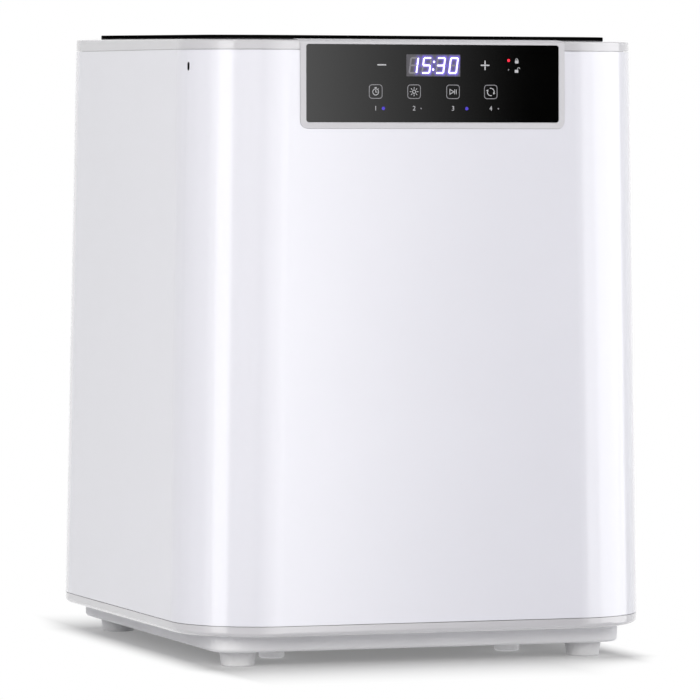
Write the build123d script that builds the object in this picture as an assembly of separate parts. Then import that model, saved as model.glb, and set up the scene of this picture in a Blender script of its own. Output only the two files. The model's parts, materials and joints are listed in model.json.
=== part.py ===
from build123d import *

import os
from math import cos, hypot, radians, sin, sqrt, tan

# Bench-top light curing unit: a drafted casing around a mirror-bright chamber, with a
# glass lid hinged at the rear, a driven turntable and a touch panel.
# Units are millimetres. X points right, Y to the rear and Z up. The origin lies on the
# bench, midway between the four feet.

os.makedirs("parts", exist_ok=True)

# ---- casing --------------------------------------------------------------------------------------
body_width = 317.2        # outside, at the lower seam
body_depth = 337.4
crest_height = 401.5      # crest of the top rim at mid depth
body_corner = 56.5        # vertical corner radius, the same at every height
draft_deg = 0.832         # each side leans in by this much
lower_seam = 27.6         # top of the bottom band
rim_height = 8.3          # from the outer shell's top to the rim's crest
shell_wall = 3.0
seam_gap = 0.35           # shadow line between casing parts
slip_gap = 0.3            # between parts of one body that slip together

# ---- top rim and lid -----------------------------------------------------------------------------
lid_tilt_deg = 0.37       # the crest rises to the rear
rim_width = 17.0          # from the casing's edge to the lid
rim_crown = 1.05          # the rim falls this much from its crest to its edge
rim_edge_round = 1.2
rim_skirt_depth = 7.2     # the rim reaches this far down inside the shell
rim_wall = 2.5
glass_thick = 4.0         # lid glass
glass_proud = 2.1         # lid glass above the crest
glass_edge = 0.6
lid_gap = 0.5             # around the lid glass
ledge_depth = 4.6         # ledge under the glass edge, below the crest
frame_depth = 8.0         # lid frame under the glass
frame_width = 12.0
frame_overlap = 9.0       # the frame's outside beyond the chamber's inside
groove_depth = 4.0        # of the frame's weight-saving groove
frame_gap = 0.8
gasket_thick = 1.6
gasket_width = 6.0

# ---- bottom --------------------------------------------------------------------------------------
plinth_inset = 19.1       # from the casing's edge at the lower seam
plinth_corner = 16.0
plinth_bottom = 9.8
plinth_top = 21.0
plinth_round = 2.6
plinth_wall = 2.5
band_round = 3.2
band_inner_inset = 24.0
lip_height = 5.0          # locating lip of the band inside the shell
lip_wall = 2.0
foot_inset = (39.8, 40.65)      # from the casing's sides at the lower seam
foot_top_d = 24.0
foot_floor_d = 21.0
foot_round = 1.0
inner_foot_inset = (76.9, 82.4)
inner_foot_d = 16.6
inner_foot_floor = 0.5    # the inner feet end this far above the floor
foot_screw_d = 4.0
foot_screw_head_d = 8.0
foot_screw_head = 2.4
foot_recess = 4.2
floor_slot_length = 46.0
floor_slot_width = 4.0
floor_slot_pitch = 10.0
floor_slot_rows = 7

# ---- curing chamber ------------------------------------------------------------------------------
chamber_side = 37.6       # from the casing's side at the lower seam to the chamber's inside
chamber_front = 43.7
chamber_centre = -4.0     # along Y
chamber_corner = 28.0
chamber_floor = 82.0
sheet = 1.2               # polished steel sheet
flange = 3.0              # outward flange at the chamber's mouth
plate_thick = 2.0         # chassis plate under the chamber
plate_margin = 17.0       # chassis plate beyond the chamber
post_d = 10.0
post_out = 5.8            # beyond the chamber's side
post_in = 31.2            # short of its front and rear

# ---- light bars ----------------------------------------------------------------------------------
bar_offset = 48.0         # each wall has a bar on both sides of its middle
bar_bottom = 108.0
bar_top_gap = 62.0        # from the light bars to the chamber's mouth
slot_width = 20.0
window_lap = 3.0
window_thick = 2.0
channel_width = 30.0
channel_depth = 10.0
channel_wall = 2.0
fin_count = 5
fin_depth = 8.0
fin_thick = 1.4
led_board_thick = 1.6
led_count = 7
led_size = 3.5
led_height = 1.8

# ---- turntable -----------------------------------------------------------------------------------
shaft_d = 7.0
run_fit = 0.05            # radial clearance of a turning shaft
bush_d = 14.0
bush_flange_d = 20.0
bush_flange = 1.5
hub_d = 40.0
hub_height = 7.5
hub_waist = 24.0
hub_step = 3.4            # height of the waist
hub_round = 1.0
hub_float = 0.5           # hub above the bush's flange
lug_d = 6.0
lug_height = 2.6
lug_circle = 28.0
lug_gap = 0.3
tray_margin = 14.0        # from the tray to the nearest wall
tray_thick = 3.0
tray_lip = 2.2
tray_lip_wall = 2.0
tray_lip_round = 0.9
tray_collar_gap = 0.8     # round the hub
tray_rib_count = 6
tray_rib_depth = 3.2
tray_rib_thick = 2.0
tray_rest_gap = 0.3
motor_d = 50.0
motor_height = 23.0
motor_round = 2.0
motor_ear_span = 60.0
motor_ear_width = 12.0
motor_ear_thick = 1.5

# ---- front panel ---------------------------------------------------------------------------------
panel_width = 171.6
panel_height = 49.4
panel_drop = 21.1         # from the outer shell's top to the panel's middle
panel_corner = 1.7
panel_thick = 2.0
panel_sunk = 0.15         # glass behind the bezel's face
bezel_side = 4.1          # bezel beside the glass
bezel_foot = 4.0          # bezel under the glass
bezel_corner = 5.0
bezel_proud = 0.4         # before the shell's face
bezel_depth = 4.5
bezel_roof = 2.4
bezel_edge_round = 1.8
bezel_lid_gap = 2.8       # from the lid to the bezel's top
panel_ledge = 3.0
display_x = 0.4
display_rise = 11.4       # above the panel's middle
display_width = 40.0
display_height = 17.0
display_depth = 7.2
digit_pitch = 9.1
digit_well = (7.4, 12.0, 0.5)
board_margin = 1.8        # of the board inside the glass's outline
board_thick = 1.6
carrier_wall = 2.0
board_screw_d = 2.0
minus_x = -34.6
plus_x = 35.7
key_drop = 5.6            # row of the four keys below the panel's middle
key_places = (-38.7, -12.7, 13.8, 39.6)
lamp_drop = 16.3          # row of the keys' lamps below the panel's middle
lamp_places = (-33.5, -8.0, 23.2, 44.8)
lock_lamp_x = 51.9
lock_lamp_rises = (14.6, 8.7)
spring_d = 7.0
spring_wire = 1.0
lamp_d = 2.0
lamp_base = (2.4, 2.4, 1.0)

# ---- lid hinges ----------------------------------------------------------------------------------
hinge_x = 75.0
hinge_pivot_back = 4.6    # pivot behind the lid's rear edge
hinge_pivot_drop = 1.4    # pivot below the crest
hinge_pin_d = 3.0
hinge_barrel_d = 7.0
hinge_knuckle = 20.0
hinge_ear = 11.0
hinge_side_gap = 0.5
leaf_thick = 2.0
bracket_base = 2.0
bracket_length = 24.0
hinge_notch_depth = 8.2   # below the crest
notch_gap = 0.6

# ---- lid lock ------------------------------------------------------------------------------------
lock_out = 1.2            # the bolt's axis beyond the lid frame's side
lock_drop = 14.7          # below the outer shell's top
striker_back = 72.7       # behind the casing's front at the lower seam
striker_thick = 2.0
striker_width = 9.4
striker_drop = 24.0       # below the lid frame
striker_window = 6.8
striker_boss = 10.0       # of the lid frame, along Y
striker_spare = 2.0       # the window is taller than wide by this much
striker_round = 2.0
striker_swing = 3.2       # room before the striker as the lid swings up
bolt_nose_d = 4.4
bolt_d = 5.4
bolt_setback = 1.5        # retracted bolt behind the striker
bolt_travel = 8.0
bolt_nose = 8.0
bolt_nose_round = 1.0
bolt_gap = 1.5            # between the crossbar and the coil
coil_x = 16.0
coil_y = 28.0
coil_z = 12.0
coil_plate = 1.2
coil_round = 2.0
arm_out = 10.0            # the release arm beyond the bolt's axis
arm_thick = 3.0
arm_height = 9.6
arm_rise = 0.3            # the arm's middle above the bolt's
arm_bevel = 2.6           # face that the release pin meets
arm_reach = 35.0
crossbar = 3.0
release_angle = 16.5      # of the release slot from the left side, round the corner
release_rise = 4.1        # of the slot above the bolt's axis
release_width = 2.6
release_height = 5.5
sensor_size = (6.0, 18.0, 2.7)
magnet_d = 8.0
magnet_thick = 2.0

# ---- rear side -----------------------------------------------------------------------------------
fan_z = 150.0
fan_size = 80.0
fan_depth = 20.0
fan_bore = 76.0
fan_hub_d = 34.0
fan_hole_pitch = 71.5
fan_blades = 7
fan_tip_gap = 1.0
fan_blade_thick = 1.6
fan_corner = 4.0
fan_strut = 5.0
fan_strut_width = 3.0
fan_run_gap = 0.6          # rotor to the struts
fan_sink = 1.2             # rotor below the frame's outer face
fan_cup_gap = 1.0
fan_blade_lean = 42.0
vent_circle = 72.0
vent_pitch = 6.0
vent_slot = 3.0
vent_rib = 4.0
inlet_x = -70.0
inlet_z = 54.0
inlet_flange = (50.0, 24.0, 2.5)
inlet_flange_corner = 5.0
inlet_body = (27.2, 19.4, 18.0)
inlet_socket = (24.0, 16.0, 15.5)
inlet_socket_key = 4.0     # chamfer of the lower corners
inlet_hole_pitch = 40.0
inlet_pin = (2.0, 4.0, 11.0)
inlet_pin_pitch = 14.0
inlet_pin_low = 1.5        # outer pins below the middle
inlet_pin_high = 2.5       # middle pin above it
inlet_pin_tail = 4.0       # behind the body
switch_x = -26.0
switch_flange = (21.0, 15.0, 1.6)
switch_corner = 1.2
switch_body = (19.0, 12.8, 14.0)
rocker_size = (15.6, 9.8, 6.5)
rocker_lean_deg = 8.0
rocker_gap = 0.35
rocker_side_gap = 0.2
rocker_dish = 2.6          # the dish starts this far above the rocker's ends
rocker_base = 1.0
cutout_gap = 0.2

# ---- electronics bay -----------------------------------------------------------------------------
supply_size = (98.0, 82.0, 34.0)
supply_place = (-68.0, 30.0)
supply_rise = 1.0
supply_round = 1.5
supply_slots = 5
supply_slot = (58.8, 3.0, 4.0)
supply_slot_pitch = 12.0
supply_foot_inset = 8.0
main_board_size = (104.0, 122.0, 1.6)
main_board_place = (62.0, 26.0)
main_board_rise = 7.0
main_board_corner = 3.0
capacitor_d = 11.0
capacitor_height = 17.0
capacitor_count = 3
capacitor_place = (-36.0, -40.0)    # places on the main board are from its middle
capacitor_pitch = 14.0
relay_size = (19.0, 16.0, 15.0)
relay_place = (-34.5, 20.0)
choke_d = 18.0
choke_height = 12.0
choke_place = (2.0, -38.0)
socket_size = (14.0, 8.0, 9.0)
socket_count = 4
socket_place = (-33.0, 48.0)
socket_pitch = 22.0
chip_size = (12.0, 12.0, 1.6)
chip_place = (-8.0, -2.0)
cooler_size = (28.0, 42.0, 18.0)
cooler_base = 3.0
cooler_fins = 5
cooler_fin = 1.6
cooler_place = (28.0, 1.0)
standoff_d = 6.0
standoff_inset = 5.0
screw_d = 3.0
screw_head_d = 5.6
screw_head = 1.8

# ---- worked out from the sizes above -------------------------------------------------------------
draft = radians(draft_deg)
tilt = radians(lid_tilt_deg)
upper_seam = crest_height - rim_height
foot_x = body_width / 2 - foot_inset[0]
foot_y = body_depth / 2 - foot_inset[1]
inner_foot_x = body_width / 2 - inner_foot_inset[0]
inner_foot_y = body_depth / 2 - inner_foot_inset[1]
chamber_x = body_width - 2 * chamber_side
chamber_y = body_depth - 2 * chamber_front
lid_x = body_width / 2 - tan(draft) * (upper_seam - lower_seam) - rim_width
lid_y = body_depth / 2 - tan(draft) * (upper_seam - lower_seam) - rim_width
lid_corner = body_corner - rim_width
frame_x = chamber_x / 2 + frame_overlap
frame_y = chamber_y / 2 + frame_overlap
frame_corner = chamber_corner + frame_overlap
glass_under = glass_proud - glass_thick
frame_under = glass_under - frame_depth
gasket_seat = frame_under - slip_gap - gasket_thick
rim_foot = upper_seam - rim_skirt_depth
inner_x = chamber_x / 2 + sheet
inner_y = chamber_y / 2 + sheet
post_x = inner_x + post_out
post_y = inner_y - post_in
bar_length = rim_foot - bar_top_gap - bar_bottom
tray_d = min(chamber_x, chamber_y) - 2 * tray_margin
panel_middle = upper_seam - panel_drop
bezel_width = panel_width + 2 * bezel_side
bezel_bottom = panel_middle - panel_height / 2 - bezel_foot
bezel_back = lid_y + bezel_lid_gap
display_z = panel_middle + display_rise
key_row = panel_middle - key_drop
board_width = panel_width - 2 * board_margin
board_height = panel_height - 2 * board_margin
lock_x = -frame_x - lock_out
lock_z = upper_seam - lock_drop
striker_y = striker_back - body_depth / 2
arm_x = lock_x - arm_out
release_z = lock_z + release_rise
deck = chamber_floor - plate_thick
hub_base = chamber_floor + sheet + bush_flange + hub_float
hub_top = hub_base + hub_height
tray_base = hub_top + tray_rest_gap
bay_floor = plinth_bottom + plinth_wall
far = 1000.0               # beyond everything
over = 1.0                 # cutters pass a face by this much
deep = 60.0                # longer than any wall or pocket is deep


def half_x(z):
    """Half the casing's width at height z."""
    return body_width / 2 - tan(draft) * (z - lower_seam)


def half_y(z):
    """Half the casing's depth at height z."""
    return body_depth / 2 - tan(draft) * (z - lower_seam)


def rounded(hx, hy, corner, z=0.0, y=0.0):
    """A rounded rectangle in the XY plane, given by its half sizes."""
    return Pos(0, y, z) * RectangleRounded(2 * hx, 2 * hy, corner)


def drafted(z0, z1, inset=0.0):
    """The casing's form between two heights, inset from its surface."""
    base = Pos(0, 0, z0) * Rectangle(2 * (half_x(z0) - inset), 2 * (half_y(z0) - inset))
    form = extrude(base, z1 - z0, taper=draft_deg)
    sides = [e for e in form.edges() if e.bounding_box().size.Z > (z1 - z0) / 2]
    return fillet(sides, body_corner - inset)


def prism(hx, hy, corner, z0, z1, y=0.0):
    """An upright block with rounded corners."""
    return extrude(rounded(hx, hy, corner, z0, y), z1 - z0)


def block(x0, x1, y0, y1, z0, z1):
    """A box from its six sides."""
    return Pos((x0 + x1) / 2, (y0 + y1) / 2, (z0 + z1) / 2) * Box(x1 - x0, y1 - y0, z1 - z0)


def rod(d, z0, z1, x=0.0, y=0.0):
    """An upright cylinder."""
    return Pos(x, y, (z0 + z1) / 2) * Cylinder(d / 2, z1 - z0)


def rod_y(d, y0, y1, x, z):
    """A cylinder along Y."""
    return Pos(x, (y0 + y1) / 2, z) * Rot(90, 0, 0) * Cylinder(d / 2, y1 - y0)


def solids_of(shape):
    """All solids of a shape, or of a list of shapes."""
    if isinstance(shape, (list, tuple)):
        return [solid for one in shape for solid in solids_of(one)]
    return list(shape.solids())


def save(name, shape):
    """Write one node, as one solid or as a group of separate solids."""
    solids = solids_of(shape)
    body = solids[0] if len(solids) == 1 else Compound(children=solids)
    export_step(body, f"parts/{name}.step")


def corners(x, y):
    """The four places of a pattern that is even about both axes."""
    return [(sx * x, sy * y) for sx in (-1, 1) for sy in (-1, 1)]


lid_plane = Plane(origin=(0, 0, crest_height), x_dir=(1, 0, 0), z_dir=(0, -sin(tilt), cos(tilt)))
front_plane = Plane(
    origin=(0, -half_y(panel_middle), panel_middle), x_dir=(1, 0, 0), z_dir=(0, -cos(draft), sin(draft))
)


def on_lid(shape):
    """Move a shape from the lid's own frame, whose zero is the rim's crest."""
    return lid_plane.location * shape


def on_front(shape):
    """Move a shape from the front face's own frame, whose zero is the panel's middle."""
    return front_plane.location * shape


def on_rear(shape, x, z):
    """Move a shape from the rear face's own frame, whose zero is on the face at x, z."""
    place = Plane(origin=(x, half_y(z), z), x_dir=(-1, 0, 0), z_dir=(0, cos(draft), sin(draft)))
    return place.location * shape


def up_front(z):
    """A height on the front face as a distance along it from the panel's middle."""
    return (z - panel_middle) / cos(draft)


# ---- casing --------------------------------------------------------------------------------------
def roof(drop=0.0):
    """The rim's crowned top, falling from the lid's edge past the casing's edge, and all below it."""
    run = 2 * rim_width
    form = prism(lid_x + run, lid_y + run, lid_corner + run, -deep, -drop)
    top = form.faces().sort_by(Axis.Z)[-1]
    return on_lid(chamfer(top.edges(), run, 2 * rim_crown, reference=top))


def make_outer_shell():
    """Glossy drafted wrap, open at both ends, with the panel's notch and the rear cut-outs."""
    bottom = lower_seam + seam_gap
    shell = drafted(bottom, upper_seam) - drafted(bottom - 1, upper_seam + 1, shell_wall)
    notch_x = bezel_width / 2 + slip_gap / 2
    notch_low = bezel_bottom - slip_gap / 2
    outline = RectangleRounded(2 * notch_x, 2 * notch_x, bezel_corner + slip_gap / 2)
    notch = extrude(Plane.XZ.offset(bezel_back) * Pos(0, notch_low + notch_x) * outline, deep)
    cutters = [notch, release_slot()] + vent_slots()
    inlet_hole = Box(inlet_body[0] + cutout_gap, inlet_body[1] + cutout_gap, deep)
    switch_hole = Box(switch_body[0] + cutout_gap, switch_body[1] + cutout_gap, deep)
    cutters += [on_rear(inlet_hole, inlet_x, inlet_z), on_rear(switch_hole, switch_x, inlet_z)]
    screw_hole = Cylinder(screw_d / 2, deep)
    for side in (-1, 1):
        cutters.append(on_rear(Pos(side * inlet_hole_pitch / 2, 0) * screw_hole, inlet_x, inlet_z))
    for x, y in corners(fan_hole_pitch / 2, fan_hole_pitch / 2):
        cutters.append(on_rear(Pos(x, y) * screw_hole, 0, fan_z))
    return shell - cutters


def release_slot():
    """Slot for the emergency release pin, square to the rounded corner."""
    angle = radians(release_angle)
    centre_x = half_x(release_z) - body_corner
    centre_y = half_y(release_z) - body_corner
    place = Plane(
        origin=(-centre_x - body_corner * cos(angle), -centre_y - body_corner * sin(angle), release_z),
        x_dir=(sin(angle), -cos(angle), 0),
        z_dir=(cos(angle), sin(angle), 0),
    )
    slot = RectangleRounded(release_width, release_height, release_width / 2 - 0.01)
    return place.location * extrude(Pos(0, 0, -shell_wall) * slot, 3 * shell_wall)


def vent_slots():
    """Slots in front of the fan, filling a circle, with a rib down the middle."""
    slots = []
    rows = int(vent_circle / 2 // vent_pitch)
    for row in range(-rows, rows + 1):
        height = row * vent_pitch
        reach = sqrt((vent_circle / 2) ** 2 - height ** 2)
        length = reach - vent_rib / 2
        if length < 2 * vent_slot:
            continue
        for side in (-1, 1):
            middle = side * (vent_rib / 2 + length / 2)
            slot = RectangleRounded(length, vent_slot, vent_slot / 2 - 0.01)
            slots.append(on_rear(Pos(middle, height) * extrude(slot, deep, both=True), 0, fan_z))
    return slots


def make_bottom_band():
    """Band round the foot of the shell, with a locating lip inside it."""
    band = prism(body_width / 2, body_depth / 2, body_corner, plinth_top, lower_seam)
    bottom = band.edges().group_by(Axis.Z)[0]
    band = fillet(bottom, band_round)
    lip = drafted(lower_seam - 1, lower_seam + lip_height, shell_wall + slip_gap)
    band += lip - drafted(lower_seam - 2, lower_seam + lip_height + 1, shell_wall + slip_gap + lip_wall)
    hole_x = body_width / 2 - band_inner_inset
    hole_y = body_depth / 2 - band_inner_inset
    return band - prism(hole_x, hole_y, body_corner - band_inner_inset, plinth_top - 1, lower_seam + 1)


def make_base_tray():
    """Plinth: a shallow tray that closes the bottom, with inlet slots under the electronics."""
    hx = body_width / 2 - plinth_inset
    hy = body_depth / 2 - plinth_inset
    tray = prism(hx, hy, plinth_corner, plinth_bottom, plinth_top)
    tray = fillet(tray.edges().group_by(Axis.Z)[0], plinth_round)
    inner = plinth_corner - plinth_wall
    tray -= prism(hx - plinth_wall, hy - plinth_wall, inner, bay_floor, plinth_top + 1)
    for x in (supply_place[0], main_board_place[0]):
        for row in range(floor_slot_rows):
            y = (row - (floor_slot_rows - 1) / 2) * floor_slot_pitch
            slot = RectangleRounded(floor_slot_length, floor_slot_width, floor_slot_width / 2 - 0.01)
            tray -= Pos(x, y, plinth_bottom - 1) * extrude(slot, plinth_wall + 2)
    for x, y in corners(foot_x, foot_y):
        tray -= rod(foot_screw_d, plinth_bottom - 1, bay_floor + 1, x, y)
    return tray


def make_feet():
    """Four tapered feet, each with a counterbore for its screw."""
    profile = loft([Circle(foot_floor_d / 2), Pos(0, 0, plinth_bottom) * Circle(foot_top_d / 2)], ruled=True)
    foot = fillet(profile.edges().group_by(Axis.Z)[0], foot_round)
    foot -= rod(foot_screw_head_d + 2 * slip_gap, -1, foot_recess)
    foot -= rod(foot_screw_d + slip_gap, 0, plinth_bottom + 1)
    return [Pos(x, y) * foot for x, y in corners(foot_x, foot_y)]


def make_foot_screws():
    """Pan-head screws that hold the feet to the tray."""
    head = rod(foot_screw_head_d, foot_recess - foot_screw_head, foot_recess)
    head = fillet(head.edges().group_by(Axis.Z)[0], foot_screw_head / 2)
    screw = head + rod(foot_screw_d - slip_gap, foot_recess - 1, bay_floor + plinth_wall)
    return [Pos(x, y) * screw for x, y in corners(foot_x, foot_y)]


def make_inner_feet():
    """Four support pads inboard of the feet."""
    pad = rod(inner_foot_d, inner_foot_floor, plinth_bottom)
    pad = fillet(pad.edges().group_by(Axis.Z)[0], foot_round)
    return [Pos(x, y) * pad for x, y in corners(inner_foot_x, inner_foot_y)]


def make_top_rim():
    """Crowned rim: outer band, skirt inside the shell, two ledges for the lid and hinge seats."""
    seat = upper_seam + seam_gap
    above = crest_height + deep / 2
    below = rim_foot - over
    band = drafted(seat, above) & roof()
    edge = [e for e in band.edges() if e.center().Z > seat + 1 and hypot(e.center().X, e.center().Y) > lid_x]
    band = fillet(edge, rim_edge_round)
    rim = band + drafted(rim_foot, seat + over, shell_wall + slip_gap)

    outer_void = drafted(below, above, shell_wall + slip_gap + rim_wall)
    step_x = frame_x + frame_gap
    step_y = frame_y + frame_gap
    step_r = frame_corner + frame_gap
    wall_size = [size + rim_wall for size in (step_x, step_y, step_r)]
    inner_wall = prism(*wall_size, below - over, above, chamber_centre)
    rim -= (outer_void - inner_wall) & under_lid_plane(ledge_depth + rim_wall)
    mouth = [chamber_x / 2, chamber_y / 2, chamber_corner]
    mouth_wall = prism(*[size + rim_wall for size in mouth], below - over, above, chamber_centre)
    step = prism(step_x, step_y, step_r, below, crest_height, chamber_centre)
    rim -= (step - mouth_wall) & under_lid_plane(rim_wall - gasket_seat)

    half = bracket_half() + rim_wall
    seat_block = block(-half, half, bracket_front() - rim_wall, bracket_back() + rim_wall, rim_foot, above)
    inside = drafted(rim_foot, above, shell_wall + slip_gap)
    for side in (-1, 1):
        rim += Pos(side * hinge_x) * seat_block & inside & under_lid_plane(ledge_depth)
    for y in lock_post_places():
        rim += rod(standoff_d, lock_lug_top(), crest_height - ledge_depth - rim_wall + over, lock_post_x(), y)

    pocket = rounded(lid_x + lid_gap, lid_y + lid_gap, lid_corner + lid_gap, -ledge_depth)
    rim -= on_lid(extrude(pocket, deep))
    rim -= on_lid(extrude(rounded(step_x, step_y, step_r, gasket_seat, chamber_centre), deep))
    rim -= prism(*mouth, below, above, chamber_centre)
    notch = block(-bracket_half(), bracket_half(), bracket_front(), bracket_back(), -hinge_notch_depth, deep)
    for side in (-1, 1):
        rim -= on_lid(Pos(side * hinge_x) * notch)
    cut = bezel_width / 2 + slip_gap / 2
    rim -= block(-cut, cut, -far, -bezel_back + slip_gap, below, above)
    return rim - striker_recess()


def under_lid_plane(depth):
    """Everything lower than the lid plane by this depth."""
    return on_lid(block(-far, far, -far, far, -deep, -depth))


def bracket_half():
    """Half the width of a hinge seat."""
    return hinge_knuckle / 2 + hinge_side_gap + hinge_ear + notch_gap


def bracket_back():
    """Rear side of a hinge seat."""
    return lid_y + hinge_pivot_back + hinge_barrel_d / 2 + notch_gap + 1


def bracket_front():
    """Front side of a hinge seat."""
    return bracket_back() - bracket_length - notch_gap


def striker_recess():
    """Room in the rim's ledges for the striker and the boss that holds it."""
    half = striker_width / 2 + frame_gap
    reach = striker_boss / 2 + frame_gap
    boss = block(lock_x - half, lock_x + half, striker_y - reach, striker_y + reach, gasket_seat, over)
    front = striker_y - striker_thick / 2 - striker_swing
    back = striker_y + striker_thick / 2 + frame_gap
    return on_lid(boss + block(lock_x - half, lock_x + half, front, back, -deep, 0))


def make_control_bezel():
    """Frame round the touch panel: front wall with a pocket for the glass, and a roof to the rim."""
    form = drafted(bezel_bottom - over, crest_height + deep / 2, -bezel_proud) & roof()
    half = bezel_width / 2
    outline = RectangleRounded(2 * half, 2 * half, bezel_corner)
    bezel = form & extrude(Plane.XZ.offset(bezel_back) * Pos(0, bezel_bottom + half) * outline, deep)
    edge = [e for e in bezel.edges().filter_by(Axis.X) if e.center().Z > upper_seam]
    edge = sorted(edge, key=lambda e: e.center().Y)[:1]
    bezel = fillet(edge, bezel_edge_round)
    behind = on_front(block(-far, far, -deep, deep, -deep, bezel_proud - bezel_depth))
    bezel -= behind & roof(bezel_roof)
    glass = RectangleRounded(panel_width + slip_gap, panel_height + slip_gap, panel_corner + slip_gap / 2)
    bezel -= on_front(Pos(0, 0, panel_back()) * extrude(glass, deep))
    window = RectangleRounded(panel_width - 2 * panel_ledge, panel_height - 2 * panel_ledge, panel_corner)
    return bezel - on_front(extrude(window, deep, both=True))


def panel_back():
    """Back of the control glass, measured out from the shell's front face."""
    return bezel_proud - panel_sunk - panel_thick


def make_control_glass():
    """Dark glass of the touch panel."""
    plate = RectangleRounded(panel_width, panel_height, panel_corner)
    return on_front(Pos(0, 0, panel_back()) * extrude(plate, panel_thick))


# ---- front panel electronics ---------------------------------------------------------------------
def board_front():
    """Front of the control board, measured out from the shell's front face."""
    return panel_back() - slip_gap - display_depth


def make_display_module():
    """Block of four seven-segment digits, standing on the board behind the glass."""
    body = Box(display_width, display_height, display_depth)
    width, height, depth = digit_well
    place = Pos(display_x, up_front(display_z), board_front() + display_depth / 2)
    for index in range(4):
        x = (index - 1.5) * digit_pitch
        body -= Pos(x, 0, display_depth / 2) * Box(width, height, 2 * depth)
    return on_front(place * body)


def make_control_board():
    """Touch and display board, with holes for its four screws."""
    board = RectangleRounded(board_width, board_height, 2)
    plate = extrude(board, board_thick)
    for x, y in corners(board_width / 2 - standoff_inset, board_height / 2 - standoff_inset):
        plate -= Pos(x, y, board_thick / 2) * Cylinder(board_screw_d / 2 + run_fit, deep)
    return on_front(Pos(0, 0, board_front() - board_thick) * plate)


def make_board_carrier():
    """Rib frame that spaces the board from the bezel and blocks stray light."""
    depth = bezel_proud - bezel_depth - board_front()
    frame = Box(board_width, board_height, depth)
    frame -= Box(board_width - 2 * carrier_wall, board_height - 2 * carrier_wall, depth + 2)
    for x, y in corners(board_width / 2 - standoff_inset, board_height / 2 - standoff_inset):
        frame += Pos(x, y) * Box(2 * standoff_inset, 2 * standoff_inset, depth)
        frame -= Pos(x, y, -depth / 2) * Cylinder(board_screw_d / 2 + run_fit, depth)
    return on_front(Pos(0, 0, board_front() + depth / 2) * frame)


def make_board_screws():
    """Screws that hold the control board to its carrier."""
    screw = Pos(0, 0, -board_thick - screw_head / 2) * Cylinder(screw_head_d / 2, screw_head)
    screw += Cylinder(board_screw_d / 2, 2 * board_thick + screw_head)
    places = corners(board_width / 2 - standoff_inset, board_height / 2 - standoff_inset)
    return [on_front(Pos(x, y, board_front()) * screw) for x, y in places]


def make_touch_springs():
    """Sensing springs between the board and the glass, as flanged sleeves."""
    length = panel_back() - board_front()
    sleeve = Cylinder(spring_d / 2, length) - Cylinder(spring_d / 2 - spring_wire, length + 1)
    places = [(x, display_z) for x in (minus_x, plus_x)] + [(x, key_row) for x in key_places]
    middle = board_front() + length / 2
    return [on_front(Pos(x, up_front(z), middle) * sleeve) for x, z in places]


def make_panel_lamps():
    """Indicator lamps on the board with light pipes up to the glass."""
    length = panel_back() - board_front() - slip_gap / 2
    lamp = Pos(0, 0, lamp_base[2] / 2) * Box(*lamp_base)
    lamp += Pos(0, 0, length / 2) * Cylinder(lamp_d / 2, length)
    places = [(x, panel_middle - lamp_drop) for x in lamp_places]
    places += [(lock_lamp_x, panel_middle + rise) for rise in lock_lamp_rises]
    return [on_front(Pos(x, up_front(z), board_front()) * lamp) for x, z in places]


# ---- curing chamber ------------------------------------------------------------------------------
def bar_frames():
    """A plane for each light bar: its zero on the chamber's outside, Z pointing away from it."""
    frames = []
    for side in (-1, 1):
        for offset in (-bar_offset, bar_offset):
            middle = bar_bottom + bar_length / 2
            frames.append(Plane(origin=(side * inner_x, chamber_centre + offset, middle),
                                x_dir=(0, 1, 0), z_dir=(side, 0, 0)))
            frames.append(Plane(origin=(offset, chamber_centre + side * inner_y, middle),
                                x_dir=(1, 0, 0), z_dir=(0, side, 0)))
    return frames


def on_bars(shape):
    """One copy of a shape on each light bar."""
    return [plane.location * shape for plane in bar_frames()]


def make_chamber_walls():
    """Polished wall of the chamber, with a mouth flange and a slot for each light bar."""
    outer_r = chamber_corner + sheet
    walls = prism(inner_x, inner_y, outer_r, chamber_floor, rim_foot, chamber_centre)
    mouth = [inner_x + flange, inner_y + flange, outer_r + flange]
    walls += prism(*mouth, rim_foot - sheet, rim_foot, chamber_centre)
    inside = [chamber_x / 2, chamber_y / 2, chamber_corner]
    walls -= prism(*inside, chamber_floor - over, rim_foot + over, chamber_centre)
    slot = extrude(RectangleRounded(slot_width, bar_length, slot_width / 2 - 0.01), 4 * sheet)
    return walls - on_bars(Pos(0, 0, -2 * sheet) * slot)


def make_chamber_floor():
    """Polished floor plate with a hole for the turntable's bush."""
    outline = [chamber_x / 2 - cutout_gap, chamber_y / 2 - cutout_gap, chamber_corner - cutout_gap]
    floor = prism(*outline, chamber_floor, chamber_floor + sheet, chamber_centre)
    return floor - rod(bush_d + cutout_gap, 0, far, 0, chamber_centre)


def make_chassis_plate():
    """Steel plate that carries the chamber, the motor and the posts."""
    hx = inner_x + plate_margin
    hy = inner_y + plate_margin
    plate = prism(hx, hy, chamber_corner, deck, chamber_floor, chamber_centre)
    plate -= rod(bush_d + cutout_gap, 0, far, 0, chamber_centre)
    for side in (-1, 1):
        plate -= rod(screw_d, 0, far, side * motor_ear_span / 2, chamber_centre)
    return plate


def make_chassis_posts():
    """Pillars between the tray and the chassis plate."""
    return [rod(post_d, bay_floor, deck, x, chamber_centre + y) for x, y in corners(post_x, post_y)]


def make_light_windows():
    """Clear strips over the slots in the chamber's wall."""
    width = slot_width + 2 * window_lap
    strip = extrude(RectangleRounded(width, bar_length + 2 * window_lap, window_lap), window_thick)
    return on_bars(strip)


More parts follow.
